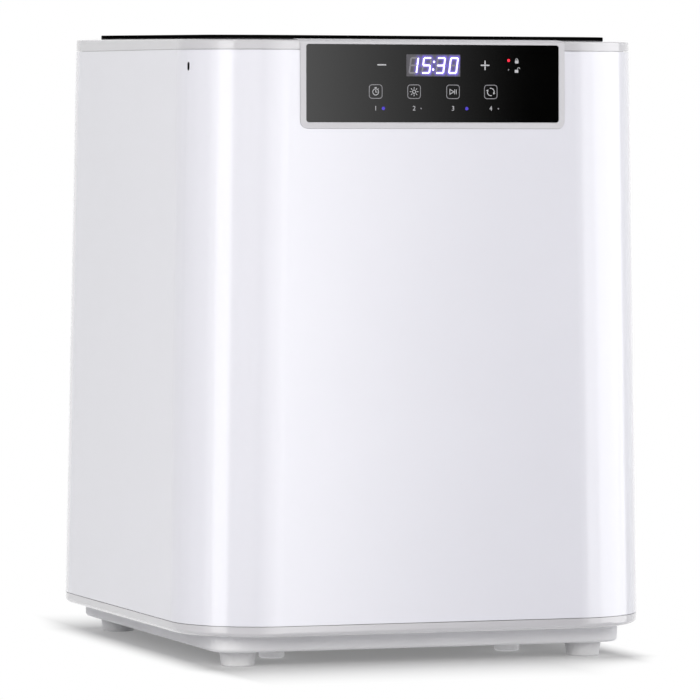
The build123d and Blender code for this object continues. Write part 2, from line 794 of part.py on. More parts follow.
def make_light_channels():
    """Finned aluminium channels that hold the light boards and carry off their heat."""
    half = channel_width / 2
    profile = Pos(0, channel_depth - channel_wall / 2) * Rectangle(channel_width, channel_wall)
    for side in (-1, 1):
        x = side * (half - channel_wall / 2)
        profile += Pos(x, channel_depth / 2) * Rectangle(channel_wall, channel_depth)
    for index in range(fin_count):
        x = (index / (fin_count - 1) - 0.5) * (channel_width - fin_thick)
        profile += Pos(x, channel_depth + fin_depth / 2) * Rectangle(fin_thick, fin_depth)
    length = bar_length + 2 * window_lap
    bar = Pos(0, length / 2, 0) * Rot(90, 0, 0) * extrude(profile, length)
    return on_bars(bar)


def board_seat():
    """Face of the light boards, measured out from the chamber's outside."""
    return channel_depth - channel_wall - led_board_thick


def make_light_boards():
    """Aluminium-backed boards along the channels."""
    width = channel_width - 2 * channel_wall - slip_gap
    board = Pos(0, 0, board_seat() + led_board_thick / 2) * Box(width, bar_length, led_board_thick)
    return on_bars(board)


def make_light_emitters():
    """Rows of emitters on the light boards."""
    row = []
    for index in range(led_count):
        y = (index / (led_count - 1) - 0.5) * (bar_length - 4 * led_size)
        row.append(Pos(0, y, board_seat() - led_height / 2) * Box(led_size, led_size, led_height))
    return [plane.location * one for plane in bar_frames() for one in row]


# ---- turntable -----------------------------------------------------------------------------------
def make_drive_shaft():
    """Steel shaft from the motor up into the hub."""
    return rod(shaft_d, deck - motor_height / 2, hub_top - 1, 0, chamber_centre)


def make_floor_bush():
    """Flanged bush through the chassis plate and the chamber floor."""
    floor = chamber_floor + sheet
    bush = rod(bush_d, deck, floor, 0, chamber_centre)
    bush += rod(bush_flange_d, floor, floor + bush_flange, 0, chamber_centre)
    return bush - rod(shaft_d + 2 * run_fit, 0, far, 0, chamber_centre)


def lug_places():
    """Places of the hub's three driving lugs."""
    return [(Rot(0, 0, 120 * index) * Pos(lug_circle / 2, 0)).position for index in range(3)]


def make_turntable_hub():
    """Hub on the shaft, stepped and rounded, with three driving lugs."""
    profile = Polyline((shaft_d / 2, 0), (hub_waist / 2, 0), (hub_waist / 2, hub_step), (hub_d / 2, hub_step),
                       (hub_d / 2, hub_height), (shaft_d / 2, hub_height), close=True)
    hub = revolve(Plane.XZ * make_face(profile), Axis.Z)
    edges = [e for e in hub.edges() if abs(e.center().Z - hub_height) < 0.01 and e.length > 3 * hub_d]
    hub = fillet(edges, hub_round)
    lug = rod(lug_d, hub_height - over, hub_height + lug_height)
    for place in lug_places():
        hub += Pos(place.X, place.Y) * lug
    return Pos(0, chamber_centre, hub_base) * hub


def make_turntable_tray():
    """Lift-off tray with a raised lip, ribs and sockets for the lugs underneath."""
    r = tray_d / 2
    lip_in = r - tray_lip_wall
    top = tray_thick + tray_lip
    points = [(0, 0), (r, 0), (r, top), (lip_in, top), (lip_in, tray_thick), (0, tray_thick)]
    profile = Polyline(*points, close=True)
    tray = revolve(Plane.XZ * make_face(profile), Axis.Z)
    crest = [e for e in tray.edges() if abs(e.center().Z - top) < 0.01]
    tray = fillet(crest, tray_lip_round)
    collar_in = hub_d / 2 + tray_collar_gap
    collar = Cylinder(collar_in + tray_rib_thick, tray_rib_depth) - Cylinder(collar_in, tray_rib_depth)
    skirt = Cylinder(r - tray_rib_thick, tray_rib_depth) - Cylinder(r - 2 * tray_rib_thick, tray_rib_depth)
    tray += Pos(0, 0, -tray_rib_depth / 2) * (collar + skirt)
    length = r - 2 * tray_rib_thick - collar_in
    rib = Box(length, tray_rib_thick, tray_rib_depth)
    rib = Pos(collar_in + length / 2 + tray_rib_thick / 2, 0, -tray_rib_depth / 2) * rib
    for index in range(tray_rib_count):
        tray += Rot(0, 0, 360 / tray_rib_count * index) * rib
    for place in lug_places():
        depth = lug_height + lug_gap - tray_rest_gap
        tray -= Pos(place.X, place.Y) * Cylinder(lug_d / 2 + lug_gap, 2 * depth)
    return Pos(0, chamber_centre, tray_base) * tray


def make_motor_body():
    """Geared motor under the chassis plate."""
    motor = rod(motor_d, deck - motor_ear_thick - motor_height, deck - motor_ear_thick, 0, chamber_centre)
    motor = fillet(motor.edges().group_by(Axis.Z)[0], motor_round)
    motor += rod(bush_flange_d, deck - motor_ear_thick - over, deck, 0, chamber_centre)
    ears = SlotOverall(motor_ear_span + motor_ear_width, motor_ear_width)
    motor += Pos(0, chamber_centre, deck - motor_ear_thick) * extrude(ears, motor_ear_thick)
    for side in (-1, 1):
        motor -= rod(screw_d, 0, far, side * motor_ear_span / 2, chamber_centre)
    return motor - rod(shaft_d + 2 * run_fit, deck - motor_height / 2 - run_fit, far, 0, chamber_centre)


def make_motor_screws():
    """Screws up through the motor's ears into the chassis plate."""
    low = deck - motor_ear_thick
    screws = []
    for side in (-1, 1):
        x = side * motor_ear_span / 2
        head = rod(screw_head_d, low - screw_head, low, x, chamber_centre)
        screws.append(head + rod(screw_d - cutout_gap, low - 1, chamber_floor, x, chamber_centre))
    return screws


# ---- lid and hinges ------------------------------------------------------------------------------
def pivot_back():
    """The hinge line's place along the lid, from the casing's middle."""
    return lid_y + hinge_pivot_back


def make_lid_glass():
    """Tinted glass lid with eased edges."""
    glass = extrude(rounded(lid_x, lid_y, lid_corner, glass_under), glass_thick)
    rims = glass.edges().group_by(Axis.Z)
    glass = fillet(rims[-1], glass_edge)
    return on_lid(glass)


def make_lid_frame():
    """Frame under the glass that closes the chamber's mouth, with a boss for the striker."""
    frame = extrude(rounded(frame_x, frame_y, frame_corner, frame_under, chamber_centre), frame_depth)
    inner = frame_corner - frame_width
    hole = rounded(frame_x - frame_width, frame_y - frame_width, inner, frame_under, chamber_centre)
    frame -= extrude(hole, deep)
    floor = glass_under - groove_depth
    groove = []
    for inset in (rim_wall, frame_width - rim_wall):
        outline = rounded(frame_x - inset, frame_y - inset, frame_corner - inset, floor, chamber_centre)
        groove.append(extrude(outline, deep))
    frame -= groove[0] - groove[1]
    half = striker_width / 2
    reach = striker_boss / 2
    boss = [lock_x - half, lock_x + half + over, striker_y - reach, striker_y + reach]
    frame += block(*boss, frame_under, glass_under)
    magnet = Pos(sensor_place(), striker_y, frame_under) * Cylinder(magnet_d / 2 + run_fit, 2 * magnet_thick)
    return on_lid(frame - magnet)


def sensor_place():
    """Where the lid's magnet meets the sensor, across."""
    return frame_x - frame_width / 2


def make_lid_magnet():
    """Magnet in the lid frame over the lid sensor."""
    place = Pos(sensor_place(), striker_y, frame_under + magnet_thick / 2)
    return on_lid(place * Cylinder(magnet_d / 2, magnet_thick))


def make_lid_striker():
    """Steel loop that the lock's bolt goes through."""
    half = striker_width / 2
    y0 = striker_y - striker_thick / 2
    foot = frame_under - striker_drop
    plate = block(lock_x - half, lock_x + half, y0, y0 + striker_thick, foot, frame_under)
    low = [e for e in plate.edges().filter_by(Axis.Y) if e.center().Z < (foot + frame_under) / 2]
    plate = fillet(low, striker_round)
    drop = crest_height + striker_y * sin(tilt) - lock_z
    outline = RectangleRounded(striker_window, striker_window + striker_spare, striker_round / 2)
    hole = Pos(lock_x, striker_y, -drop) * Rot(90, 0, 0) * extrude(outline, striker_thick, both=True)
    return on_lid(plate - hole)


def hinge_sides(shape):
    """A hinge part at both hinges, from the hinge's own frame on the lid plane."""
    return [on_lid(Pos(side * hinge_x, pivot_back(), -hinge_pivot_drop) * shape) for side in (-1, 1)]


def barrel(length, x=0.0):
    """A hinge knuckle along X."""
    return Pos(x, 0, 0) * Rot(0, 90, 0) * Cylinder(hinge_barrel_d / 2, length)


def pin_hole(clearance):
    """The pin's hole right through a hinge."""
    return Rot(0, 90, 0) * Cylinder(hinge_pin_d / 2 + clearance, far)


def make_hinge_leaves():
    """Lid half of each hinge: a leaf under the glass that ends in a knuckle."""
    top = glass_under + hinge_pivot_drop
    half = hinge_knuckle / 2
    front = frame_y + chamber_centre + slip_gap - pivot_back()
    leaf = block(-half, half, front, 0, top - leaf_thick, top)
    leaf += barrel(hinge_knuckle)
    return hinge_sides(leaf - pin_hole(run_fit))


def make_hinge_brackets():
    """Fixed half of each hinge: a base screwed to the rim and two ears."""
    half = hinge_knuckle / 2 + hinge_side_gap + hinge_ear
    floor = hinge_pivot_drop - hinge_notch_depth
    back = hinge_barrel_d / 2
    base = block(-half, half, bracket_front() + notch_gap - pivot_back(), back, floor, floor + bracket_base)
    bracket = base
    for side in (-1, 1):
        x = side * (half - hinge_ear / 2)
        bracket += barrel(hinge_ear, x)
        bracket += block(x - hinge_ear / 2, x + hinge_ear / 2, -back, back, floor, 0)
    for side in (-1, 1):
        place = Pos(side * hinge_knuckle / 2, bracket_screw_y(), floor)
        bracket -= place * Cylinder(screw_d / 2, 4 * bracket_base)
    return hinge_sides(bracket - pin_hole(run_fit / 2))


def bracket_screw_y():
    """Place of a bracket's screws along the hinge's own Y."""
    return bracket_front() + notch_gap + screw_head_d / 2 + over - pivot_back()


def make_hinge_pins():
    """Pins through both halves of the hinges."""
    half = hinge_knuckle / 2 + hinge_side_gap + hinge_ear
    return hinge_sides(Rot(0, 90, 0) * Cylinder(hinge_pin_d / 2, 2 * half))


def make_hinge_screws():
    """Screws that hold the brackets to the rim."""
    floor = hinge_pivot_drop - hinge_notch_depth + bracket_base
    screws = []
    for side in (-1, 1):
        place = Pos(side * hinge_knuckle / 2, bracket_screw_y(), floor)
        screw = Pos(0, 0, screw_head / 4) * Cylinder(screw_head_d / 2, screw_head / 2)
        screw += Pos(0, 0, -bracket_base / 2) * Cylinder(screw_d / 2 - cutout_gap / 2, bracket_base)
        screws.extend(hinge_sides(place * screw))
    return screws


def make_lid_gasket():
    """Soft seal on the rim's lower ledge, under the lid frame."""
    out_x = frame_x - (frame_width - gasket_width) / 2
    out_y = frame_y - (frame_width - gasket_width) / 2
    out_r = frame_corner - (frame_width - gasket_width) / 2
    ring = extrude(rounded(out_x, out_y, out_r, gasket_seat, chamber_centre), gasket_thick)
    inside = [size - gasket_width for size in (out_x, out_y, out_r)]
    ring -= extrude(rounded(*inside, gasket_seat, chamber_centre), deep)
    half = striker_width / 2 + 2 * frame_gap
    reach = striker_boss / 2 + 2 * frame_gap
    ring -= block(lock_x - half, lock_x + half, striker_y - reach, striker_y + reach, gasket_seat - over, 0)
    return on_lid(ring)


# ---- lid lock ------------------------------------------------------------------------------------
def bolt_tip():
    """Front end of the retracted bolt."""
    return striker_y + striker_thick / 2 + bolt_setback


def coil_front():
    """Front face of the lock's coil."""
    return bolt_tip() + bolt_nose + crossbar + bolt_gap


def lock_post_x():
    """Place of the rim's two posts for the lock, across."""
    return lock_x - coil_x / 2 - standoff_d / 2 - slip_gap


def lock_post_places():
    """Places of the rim's two posts for the lock, along Y."""
    inset = standoff_d / 2 + 2 * coil_plate
    return coil_front() + inset, coil_front() + coil_y - inset


def lock_lug_top():
    """Top of the lock frame's lug, where the rim's posts end."""
    return lock_z + coil_z / 2 + slip_gap


def make_lock_coil():
    """Coil block of the two-way lock magnet."""
    coil = block(lock_x - coil_x / 2, lock_x + coil_x / 2, coil_front() + coil_plate,
                 coil_front() + coil_y - coil_plate, lock_z - coil_z / 2, lock_z + coil_z / 2)
    coil = fillet(coil.edges().filter_by(Axis.Y), coil_round)
    return coil - rod_y(bolt_d + 2 * run_fit, -far, far, lock_x, lock_z)


def make_lock_frame():
    """Bent steel frame round the coil, with a lug up to the rim's posts."""
    x0 = lock_x - coil_x / 2
    x1 = lock_x + coil_x / 2
    low = lock_z - coil_z / 2
    top = lock_z + coil_z / 2
    y0 = coil_front()
    y1 = coil_front() + coil_y
    frame = block(x0 - coil_plate, x0, y0, y1, low, lock_lug_top())
    frame += block(x0, x1, y0, y0 + coil_plate, low, top)
    frame += block(x0, x1, y1 - coil_plate, y1, low, top)
    frame += block(lock_post_x() - standoff_d / 2, x0, y0, y1, lock_lug_top() - coil_plate, lock_lug_top())
    return frame - rod_y(bolt_d + 2 * run_fit, -far, far, lock_x, lock_z)


def make_lock_bolt():
    """Bolt with a turned-down nose, and the arm that the release pin pushes."""
    tip = bolt_tip()
    nose = rod_y(bolt_nose_d, tip, tip + bolt_nose, lock_x, lock_z)
    nose = fillet(nose.edges().group_by(Axis.Y)[0], bolt_nose_round)
    bolt = nose + rod_y(bolt_d, tip + bolt_nose, coil_front() + coil_y - bolt_travel, lock_x, lock_z)
    bar_y = tip + bolt_nose
    half = crossbar / 2
    bolt += block(arm_x - arm_thick / 2, lock_x, bar_y, bar_y + crossbar, lock_z - half, lock_z + half)
    front = bar_y + crossbar - arm_reach
    middle = lock_z + arm_rise
    arm = block(arm_x - arm_thick / 2, arm_x + arm_thick / 2, front, bar_y + crossbar,
                middle - arm_height / 2, middle + arm_height / 2)
    edge = [e for e in arm.edges().filter_by(Axis.Z) if e.center().Y < front + over and e.center().X < arm_x]
    return bolt + chamfer(edge, arm_bevel)


def make_lid_sensor():
    """Magnetic sensor under the rim that tells when the lid is shut."""
    width, length, height = sensor_size
    x = chamber_x / 2 + sheet + flange + slip_gap + width / 2
    z = rim_foot - slip_gap - height / 2
    return Pos(x, striker_y, z) * Box(width, length, height)


# ---- rear side -----------------------------------------------------------------------------------
def make_fan_frame():
    """Square fan housing with a round duct, corner holes and struts to the motor cup."""
    half = fan_size / 2
    frame = extrude(RectangleRounded(fan_size, fan_size, fan_corner), fan_depth)
    frame -= Pos(0, 0, -1) * extrude(Circle(fan_bore / 2), fan_depth + 2)
    for index in range(4):
        strut = Pos(half / 2, 0, fan_strut / 4) * Box(fan_bore / 2, fan_strut_width, fan_strut / 2)
        frame += Rot(0, 0, 45 + 90 * index) * strut
    frame += Pos(0, 0, fan_strut / 4) * Cylinder(fan_hub_d / 2, fan_strut / 2)
    for x, y in corners(fan_hole_pitch / 2, fan_hole_pitch / 2):
        frame -= Pos(x, y, fan_depth / 2) * Cylinder(screw_d / 2, fan_depth + 2)
    return on_rear(Pos(0, 0, -shell_wall - fan_depth) * frame, 0, fan_z)


def make_fan_rotor():
    """Rotor cup with pitched blades."""
    low = fan_strut / 2 + fan_run_gap
    high = fan_depth - fan_sink
    cup = Pos(0, 0, (low + high) / 2) * Cylinder(fan_hub_d / 2 - fan_cup_gap, high - low)
    cup = fillet(cup.edges().group_by(Axis.Z)[-1], 2 * fan_cup_gap)
    reach = fan_bore / 2 - fan_tip_gap
    rotor = cup
    inner = fan_hub_d / 2 - 3 * fan_cup_gap
    for index in range(fan_blades):
        blade = Box(reach - inner + 2 * over, fan_blade_thick, fan_depth)
        blade = Pos((reach + inner) / 2, 0, (low + high) / 2) * Rot(fan_blade_lean, 0, 0) * blade
        rotor += Rot(0, 0, 360 / fan_blades * index) * blade
    ring = Pos(0, 0, (low + high) / 2) * Cylinder(reach, high - low)
    rotor = rotor & ring
    return on_rear(Pos(0, 0, -shell_wall - fan_depth) * rotor, 0, fan_z)


def make_fan_screws():
    """Screws through the shell and the fan's corners."""
    length = shell_wall + fan_depth / 2
    screw = Pos(0, 0, screw_head / 2) * Cylinder(screw_head_d / 2, screw_head)
    screw += Pos(0, 0, -length / 2) * Cylinder(screw_d / 2 - cutout_gap / 2, length)
    places = corners(fan_hole_pitch / 2, fan_hole_pitch / 2)
    return [on_rear(Pos(x, y) * screw, 0, fan_z) for x, y in places]


def make_power_inlet():
    """Three-pin appliance inlet: flange outside, socket body inside."""
    width, height, thick = inlet_flange
    body = extrude(RectangleRounded(width, height, inlet_flange_corner), thick)
    body += Pos(0, 0, -inlet_body[2] / 2) * Box(inlet_body[0], inlet_body[1], inlet_body[2])
    socket = extrude(Rectangle(inlet_socket[0], inlet_socket[1]), inlet_socket[2])
    lower = [e for e in socket.edges().filter_by(Axis.Z) if e.center().Y < 0]
    socket = chamfer(lower, inlet_socket_key)
    body -= Pos(0, 0, thick - inlet_socket[2]) * socket
    for side in (-1, 1):
        body -= Pos(side * inlet_hole_pitch / 2, 0) * Cylinder(screw_d / 2, 3 * thick)
    for x, y in inlet_pin_places():
        body -= Pos(x, y, -inlet_body[2]) * Box(inlet_pin[0], inlet_pin[1], inlet_body[2])
    return on_rear(body, inlet_x, inlet_z)


def inlet_pin_places():
    """Places of the three pins, the middle one set off."""
    half = inlet_pin_pitch / 2
    return [(-half, -inlet_pin_low), (0, inlet_pin_high), (half, -inlet_pin_low)]


def make_inlet_pins():
    """Three contact blades through the inlet's back."""
    wide, tall, length = inlet_pin
    tip = inlet_flange[2] - inlet_socket[2] + length
    pin = block(-wide / 2, wide / 2, -tall / 2, tall / 2, -inlet_body[2] - inlet_pin_tail, tip)
    return [on_rear(Pos(x, y) * pin, inlet_x, inlet_z) for x, y in inlet_pin_places()]


def make_inlet_screws():
    """Screws through the inlet's ears."""
    length = inlet_flange[2] + 2 * shell_wall
    screw = Pos(0, 0, screw_head / 2) * Cylinder(screw_head_d / 2, screw_head)
    screw += Pos(0, 0, -length / 2) * Cylinder(screw_d / 2 - cutout_gap / 2, length)
    return [on_rear(Pos(side * inlet_hole_pitch / 2, 0, inlet_flange[2]) * screw, inlet_x, inlet_z)
            for side in (-1, 1)]


def make_switch_housing():
    """Frame of the power switch with a well for the rocker."""
    width, height, thick = switch_flange
    housing = extrude(RectangleRounded(width, height, switch_corner), thick)
    housing += Pos(0, 0, -switch_body[2] / 2) * Box(*switch_body)
    well = Box(rocker_size[0] + 2 * rocker_gap, rocker_size[1] + 2 * rocker_gap, 2 * rocker_size[2])
    return on_rear(housing - well, switch_x, inlet_z)


def make_switch_rocker():
    """Rocker pressed down at its left end, seen from behind."""
    width, height, depth = rocker_size
    lean = radians(rocker_lean_deg)
    radius = width / 2 - rocker_side_gap
    across = Rot(90, 0, 0) * Circle(radius)
    body = extrude(across, height / 2, both=True) & Box(width, height, 2 * depth)
    top = switch_flange[2] + rocker_side_gap
    hollow = Pos(0, 0, radius * cos(lean) + rocker_dish) * extrude(across, height, both=True)
    rocker = (body & block(-far, far, -far, far, rocker_base - depth, top)) - hollow
    return on_rear(Rot(0, rocker_lean_deg, 0) * rocker, switch_x, inlet_z)


# ---- electronics bay -----------------------------------------------------------------------------
def make_power_supply():
    """Vented metal box of the mains supply, on four short feet."""
    width, depth, height = supply_size
    base = bay_floor + supply_rise
    case = Pos(*supply_place, base + height / 2) * Box(width, depth, height)
    case = fillet(case.edges().filter_by(Axis.Z), supply_round)
    for row in range(supply_slots):
        y = supply_place[1] + (row - (supply_slots - 1) / 2) * supply_slot_pitch
        case -= Pos(supply_place[0], y, base + height) * Box(*supply_slot)
    for x, y in corners(width / 2 - supply_foot_inset, depth / 2 - supply_foot_inset):
        case += rod(standoff_d, bay_floor, base + over, supply_place[0] + x, supply_place[1] + y)
    return case


def board_corner_places():
    """Places of the main board's four standoffs."""
    width, depth, _ = main_board_size
    offsets = corners(width / 2 - standoff_inset, depth / 2 - standoff_inset)
    return [(main_board_place[0] + x, main_board_place[1] + y) for x, y in offsets]


def make_main_board():
    """Driver and control board."""
    width, depth, thick = main_board_size
    base = bay_floor + main_board_rise
    board = Pos(*main_board_place, base) * extrude(RectangleRounded(width, depth, main_board_corner), thick)
    for x, y in board_corner_places():
        board -= rod(screw_d, base - 1, base + thick + 1, x, y)
    return board


def make_board_parts():
    """What stands on the main board: capacitors, relay, choke, sockets, chip and a finned cooler."""
    top = bay_floor + main_board_rise + main_board_size[2]
    on_board = Pos(main_board_place[0], main_board_place[1], top)
    parts = []
    for index in range(capacitor_count):
        x, y = capacitor_place
        parts.append(Pos(x, y + index * capacitor_pitch) * rod(capacitor_d, 0, capacitor_height))
    parts.append(Pos(*relay_place) * standing(relay_size))
    parts.append(Pos(*choke_place) * rod(choke_d, 0, choke_height))
    for index in range(socket_count):
        x, y = socket_place
        parts.append(Pos(x + index * socket_pitch, y) * standing(socket_size))
    parts.append(Pos(*chip_place) * standing(chip_size))
    width, length, height = cooler_size
    cooler = standing((width, length, cooler_base))
    for index in range(cooler_fins):
        x = (index / (cooler_fins - 1) - 0.5) * (width - cooler_fin)
        cooler += Pos(x) * standing((cooler_fin, length, height))
    parts.append(Pos(*cooler_place) * cooler)
    return [on_board * part for part in parts]


def standing(size):
    """A box of this size that stands on the XY plane."""
    return Pos(0, 0, size[2] / 2) * Box(*size)


def make_board_standoffs():
    """Pillars under the main board."""
    base = bay_floor + main_board_rise
    return [rod(standoff_d, bay_floor, base, x, y) for x, y in board_corner_places()]


def make_main_board_screws():
    """Screws that hold the main board."""
    top = bay_floor + main_board_rise + main_board_size[2]
    screws = []
    for x, y in board_corner_places():
        screw = rod(screw_head_d, top, top + screw_head, x, y)
        screws.append(screw + rod(screw_d - cutout_gap, top - main_board_size[2], top + 0.5, x, y))
    return screws


nodes = {
    "base_tray": make_base_tray,
    "bottom_band": make_bottom_band,
    "feet": make_feet,
    "foot_screws": make_foot_screws,
    "inner_feet": make_inner_feet,
    "outer_shell": make_outer_shell,
    "top_rim": make_top_rim,
    "control_bezel": make_control_bezel,
    "control_glass": make_control_glass,
    "display_module": make_display_module,
    "control_board": make_control_board,
    "board_carrier": make_board_carrier,
    "board_screws": make_board_screws,
    "touch_springs": make_touch_springs,
    "panel_lamps": make_panel_lamps,
    "chamber_walls": make_chamber_walls,
    "chamber_floor": make_chamber_floor,
    "chassis_plate": make_chassis_plate,
    "chassis_posts": make_chassis_posts,
    "light_windows": make_light_windows,
    "light_channels": make_light_channels,
    "light_boards": make_light_boards,
    "light_emitters": make_light_emitters,
    "motor_body": make_motor_body,
    "motor_screws": make_motor_screws,
    "floor_bush": make_floor_bush,
    "drive_shaft": make_drive_shaft,
    "turntable_hub": make_turntable_hub,
    "turntable_tray": make_turntable_tray,
    "lid_glass": make_lid_glass,
    "lid_frame": make_lid_frame,
    "lid_gasket": make_lid_gasket,
    "lid_magnet": make_lid_magnet,
    "lid_sensor": make_lid_sensor,
    "lid_striker": make_lid_striker,
    "hinge_leaves": make_hinge_leaves,
    "hinge_brackets": make_hinge_brackets,
    "hinge_pins": make_hinge_pins,
    "hinge_screws": make_hinge_screws,
    "lock_coil": make_lock_coil,
    "lock_frame": make_lock_frame,
    "lock_bolt": make_lock_bolt,
    "fan_frame": make_fan_frame,
    "fan_rotor": make_fan_rotor,
    "fan_screws": make_fan_screws,
    "power_inlet": make_power_inlet,
    "inlet_pins": make_inlet_pins,
    "inlet_screws": make_inlet_screws,
    "switch_housing": make_switch_housing,
    "switch_rocker": make_switch_rocker,
    "power_supply": make_power_supply,
    "main_board": make_main_board,
    "main_board_screws": make_main_board_screws,
    "board_parts": make_board_parts,
    "board_standoffs": make_board_standoffs,
}
for name, maker in nodes.items():
    save(name, maker())
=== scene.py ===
import json
import math

import bpy
from mathutils import Matrix, Vector


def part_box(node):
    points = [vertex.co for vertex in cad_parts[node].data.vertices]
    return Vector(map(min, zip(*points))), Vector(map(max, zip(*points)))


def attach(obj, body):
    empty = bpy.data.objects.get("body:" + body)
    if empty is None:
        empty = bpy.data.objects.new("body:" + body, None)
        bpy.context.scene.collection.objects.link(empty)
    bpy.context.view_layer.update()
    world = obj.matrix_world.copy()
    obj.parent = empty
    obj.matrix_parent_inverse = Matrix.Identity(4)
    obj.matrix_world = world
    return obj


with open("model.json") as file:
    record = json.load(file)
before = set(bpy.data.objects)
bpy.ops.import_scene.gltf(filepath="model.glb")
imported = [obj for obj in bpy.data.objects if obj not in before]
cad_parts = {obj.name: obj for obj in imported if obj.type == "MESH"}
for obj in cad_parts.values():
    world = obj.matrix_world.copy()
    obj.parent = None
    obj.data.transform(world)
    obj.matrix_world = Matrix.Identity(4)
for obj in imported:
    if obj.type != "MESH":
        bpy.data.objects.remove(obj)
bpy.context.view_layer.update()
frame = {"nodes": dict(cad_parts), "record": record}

mm = 0.001
nodes = frame["nodes"]


def colour(hexValue):
    # sRGB hex to the linear colour that the shaders work in
    parts = [int(hexValue[i:i + 2], 16) / 255 for i in (1, 3, 5)]
    linear = [c / 12.92 if c <= 0.04045 else ((c + 0.055) / 1.055) ** 2.4 for c in parts]
    return (*linear, 1.0)


def addNode(tree, kind, settings=None, links=None):
    # one node, with its sockets or properties set and its inputs linked
    node = tree.nodes.new(kind)
    for name, value in (settings or {}).items():
        if isinstance(name, int) or name in node.inputs:
            node.inputs[name].default_value = value
        else:
            setattr(node, name, value)
    for socket, source in (links or {}).items():
        tree.links.new(source, node.inputs[socket])
    return node


def newMaterial(name, **sockets):
    # a material with one shader, its even numbers set on its own sockets
    material = bpy.data.materials.new(name)
    material.use_nodes = True
    tree = material.node_tree
    tree.nodes.clear()
    settings = {name.replace("_", " "): value for name, value in sockets.items()}
    shader = addNode(tree, "ShaderNodeBsdfPrincipled", settings)
    addNode(tree, "ShaderNodeOutputMaterial", links={"Surface": shader.outputs["BSDF"]})
    return material, tree, shader


def addFinish(tree, shader, shades, toneMm, rough, grainMm, reliefMm, stretch=(1, 1, 1), detail=4):
    # slow change of tone, roughness that follows a second noise, and a fine surface relief
    place = addNode(tree, "ShaderNodeTexCoord")
    where = addNode(tree, "ShaderNodeMapping", {"Scale": stretch}, {"Vector": place.outputs["Object"]})
    tone = addNode(tree, "ShaderNodeTexNoise", {"Scale": 1 / (toneMm * mm), "Detail": 3},
                   {"Vector": where.outputs["Vector"]})
    shade = addNode(tree, "ShaderNodeMix",
                    {"data_type": "RGBA", 6: colour(shades[0]), 7: colour(shades[1])},
                    {0: tone.outputs["Fac"]})
    tree.links.new(shade.outputs[2], shader.inputs["Base Color"])
    grain = addNode(tree, "ShaderNodeTexNoise", {"Scale": 1 / (grainMm * mm), "Detail": detail},
                    {"Vector": where.outputs["Vector"]})
    spread = addNode(tree, "ShaderNodeMapRange", {"To Min": rough[0], "To Max": rough[1]},
                     {"Value": grain.outputs["Fac"]})
    tree.links.new(spread.outputs["Result"], shader.inputs["Roughness"])
    relief = addNode(tree, "ShaderNodeBump", {"Strength": 1.0, "Distance": reliefMm * mm},
                     {"Height": grain.outputs["Fac"]})
    tree.links.new(relief.outputs["Normal"], shader.inputs["Normal"])


print("materials")
finishes = {}

# glossy moulded ABS: a deep even white with a skin smooth enough to mirror soft boxes
material, tree, shader = newMaterial("glossyWhiteAbs", IOR=1.53, Coat_Weight=0.8, Coat_Roughness=0.14)
addFinish(tree, shader, ("#DFDFE8", "#E2E2EB"), toneMm=90, rough=(0.14, 0.17),
          grainMm=4.0, reliefMm=0.0012, detail=1)
finishes["gloss_white"] = material

# fine-textured moulded ABS under a clear lacquer: the spark-eroded mould leaves a soft satin grain,
# drawn a little coarse, and the lacquer mirrors the lamps along the rim and the band
material, tree, shader = newMaterial("satinGreyAbs", IOR=1.53, Coat_Weight=1.0, Coat_Roughness=0.06)
addFinish(tree, shader, ("#C1C0C5", "#C6C5CA"), toneMm=60, rough=(0.14, 0.19),
          grainMm=0.7, reliefMm=0.003)
finishes["satin_grey"] = material

# the frame round the touch panel has the same grain without the lacquer, so that it stays even
material, tree, shader = newMaterial("bezelAbs", IOR=1.53)
addFinish(tree, shader, ("#C1C0C5", "#C6C5CA"), toneMm=60, rough=(0.42, 0.5),
          grainMm=0.7, reliefMm=0.008)
finishes["bezel"] = material

# the plinth is the same ABS, paler and rougher, so that it hardly mirrors the floor
material, tree, shader = newMaterial("plinthAbs", IOR=1.53, Specular_IOR_Level=0.25)
addFinish(tree, shader, ("#DFDFE2", "#E3E3E6"), toneMm=50, rough=(0.58, 0.68),
          grainMm=0.8, reliefMm=0.012)
finishes["plinth_grey"] = material

# pale thermoplastic rubber, dull and slightly dusty
material, tree, shader = newMaterial("footRubber", IOR=1.5)
addFinish(tree, shader, ("#D2D2D4", "#DADADC"), toneMm=12, rough=(0.55, 0.70),
          grainMm=0.6, reliefMm=0.02)
finishes["foot_grey"] = material

# the inner pads are a paler rubber with a faint glow painted in: painted light that stands in for the pale
# floor's light under the casing
material, tree, shader = newMaterial("padRubberPaintedGlow", IOR=1.5, Emission_Strength=0.22,
                                     Emission_Color=colour("#F0F0F2"))
addFinish(tree, shader, ("#EDEDEF", "#F4F4F5"), toneMm=12, rough=(0.55, 0.70),
          grainMm=0.6, reliefMm=0.02)
finishes["pads"] = material

# glass printed black on its back, its face coated against glare
material, tree, shader = newMaterial("panelGlass", IOR=1.52, Specular_IOR_Level=0.37)
addFinish(tree, shader, ("#020202", "#040404"), toneMm=70, rough=(0.05, 0.08),
          grainMm=12, reliefMm=0.0003, detail=1)
finishes["panel_glass"] = material

# grey-tinted glass: dark from outside, the chamber just shows through it
material, tree, shader = newMaterial("smokedGlass", IOR=1.52, Transmission_Weight=0.55)
addFinish(tree, shader, ("#101012", "#151517"), toneMm=80, rough=(0.03, 0.05),
          grainMm=20, reliefMm=0.0002, detail=1)
finishes["lid_glass"] = material

# deep black paint on the ground edge of the lid glass
material, tree, shader = newMaterial("edgePaint", IOR=1.5, Specular_IOR_Level=0.0)
addFinish(tree, shader, ("#050505", "#090909"), toneMm=6, rough=(0.5, 0.6),
          grainMm=0.5, reliefMm=0.004)
finishes["edge_paint"] = material

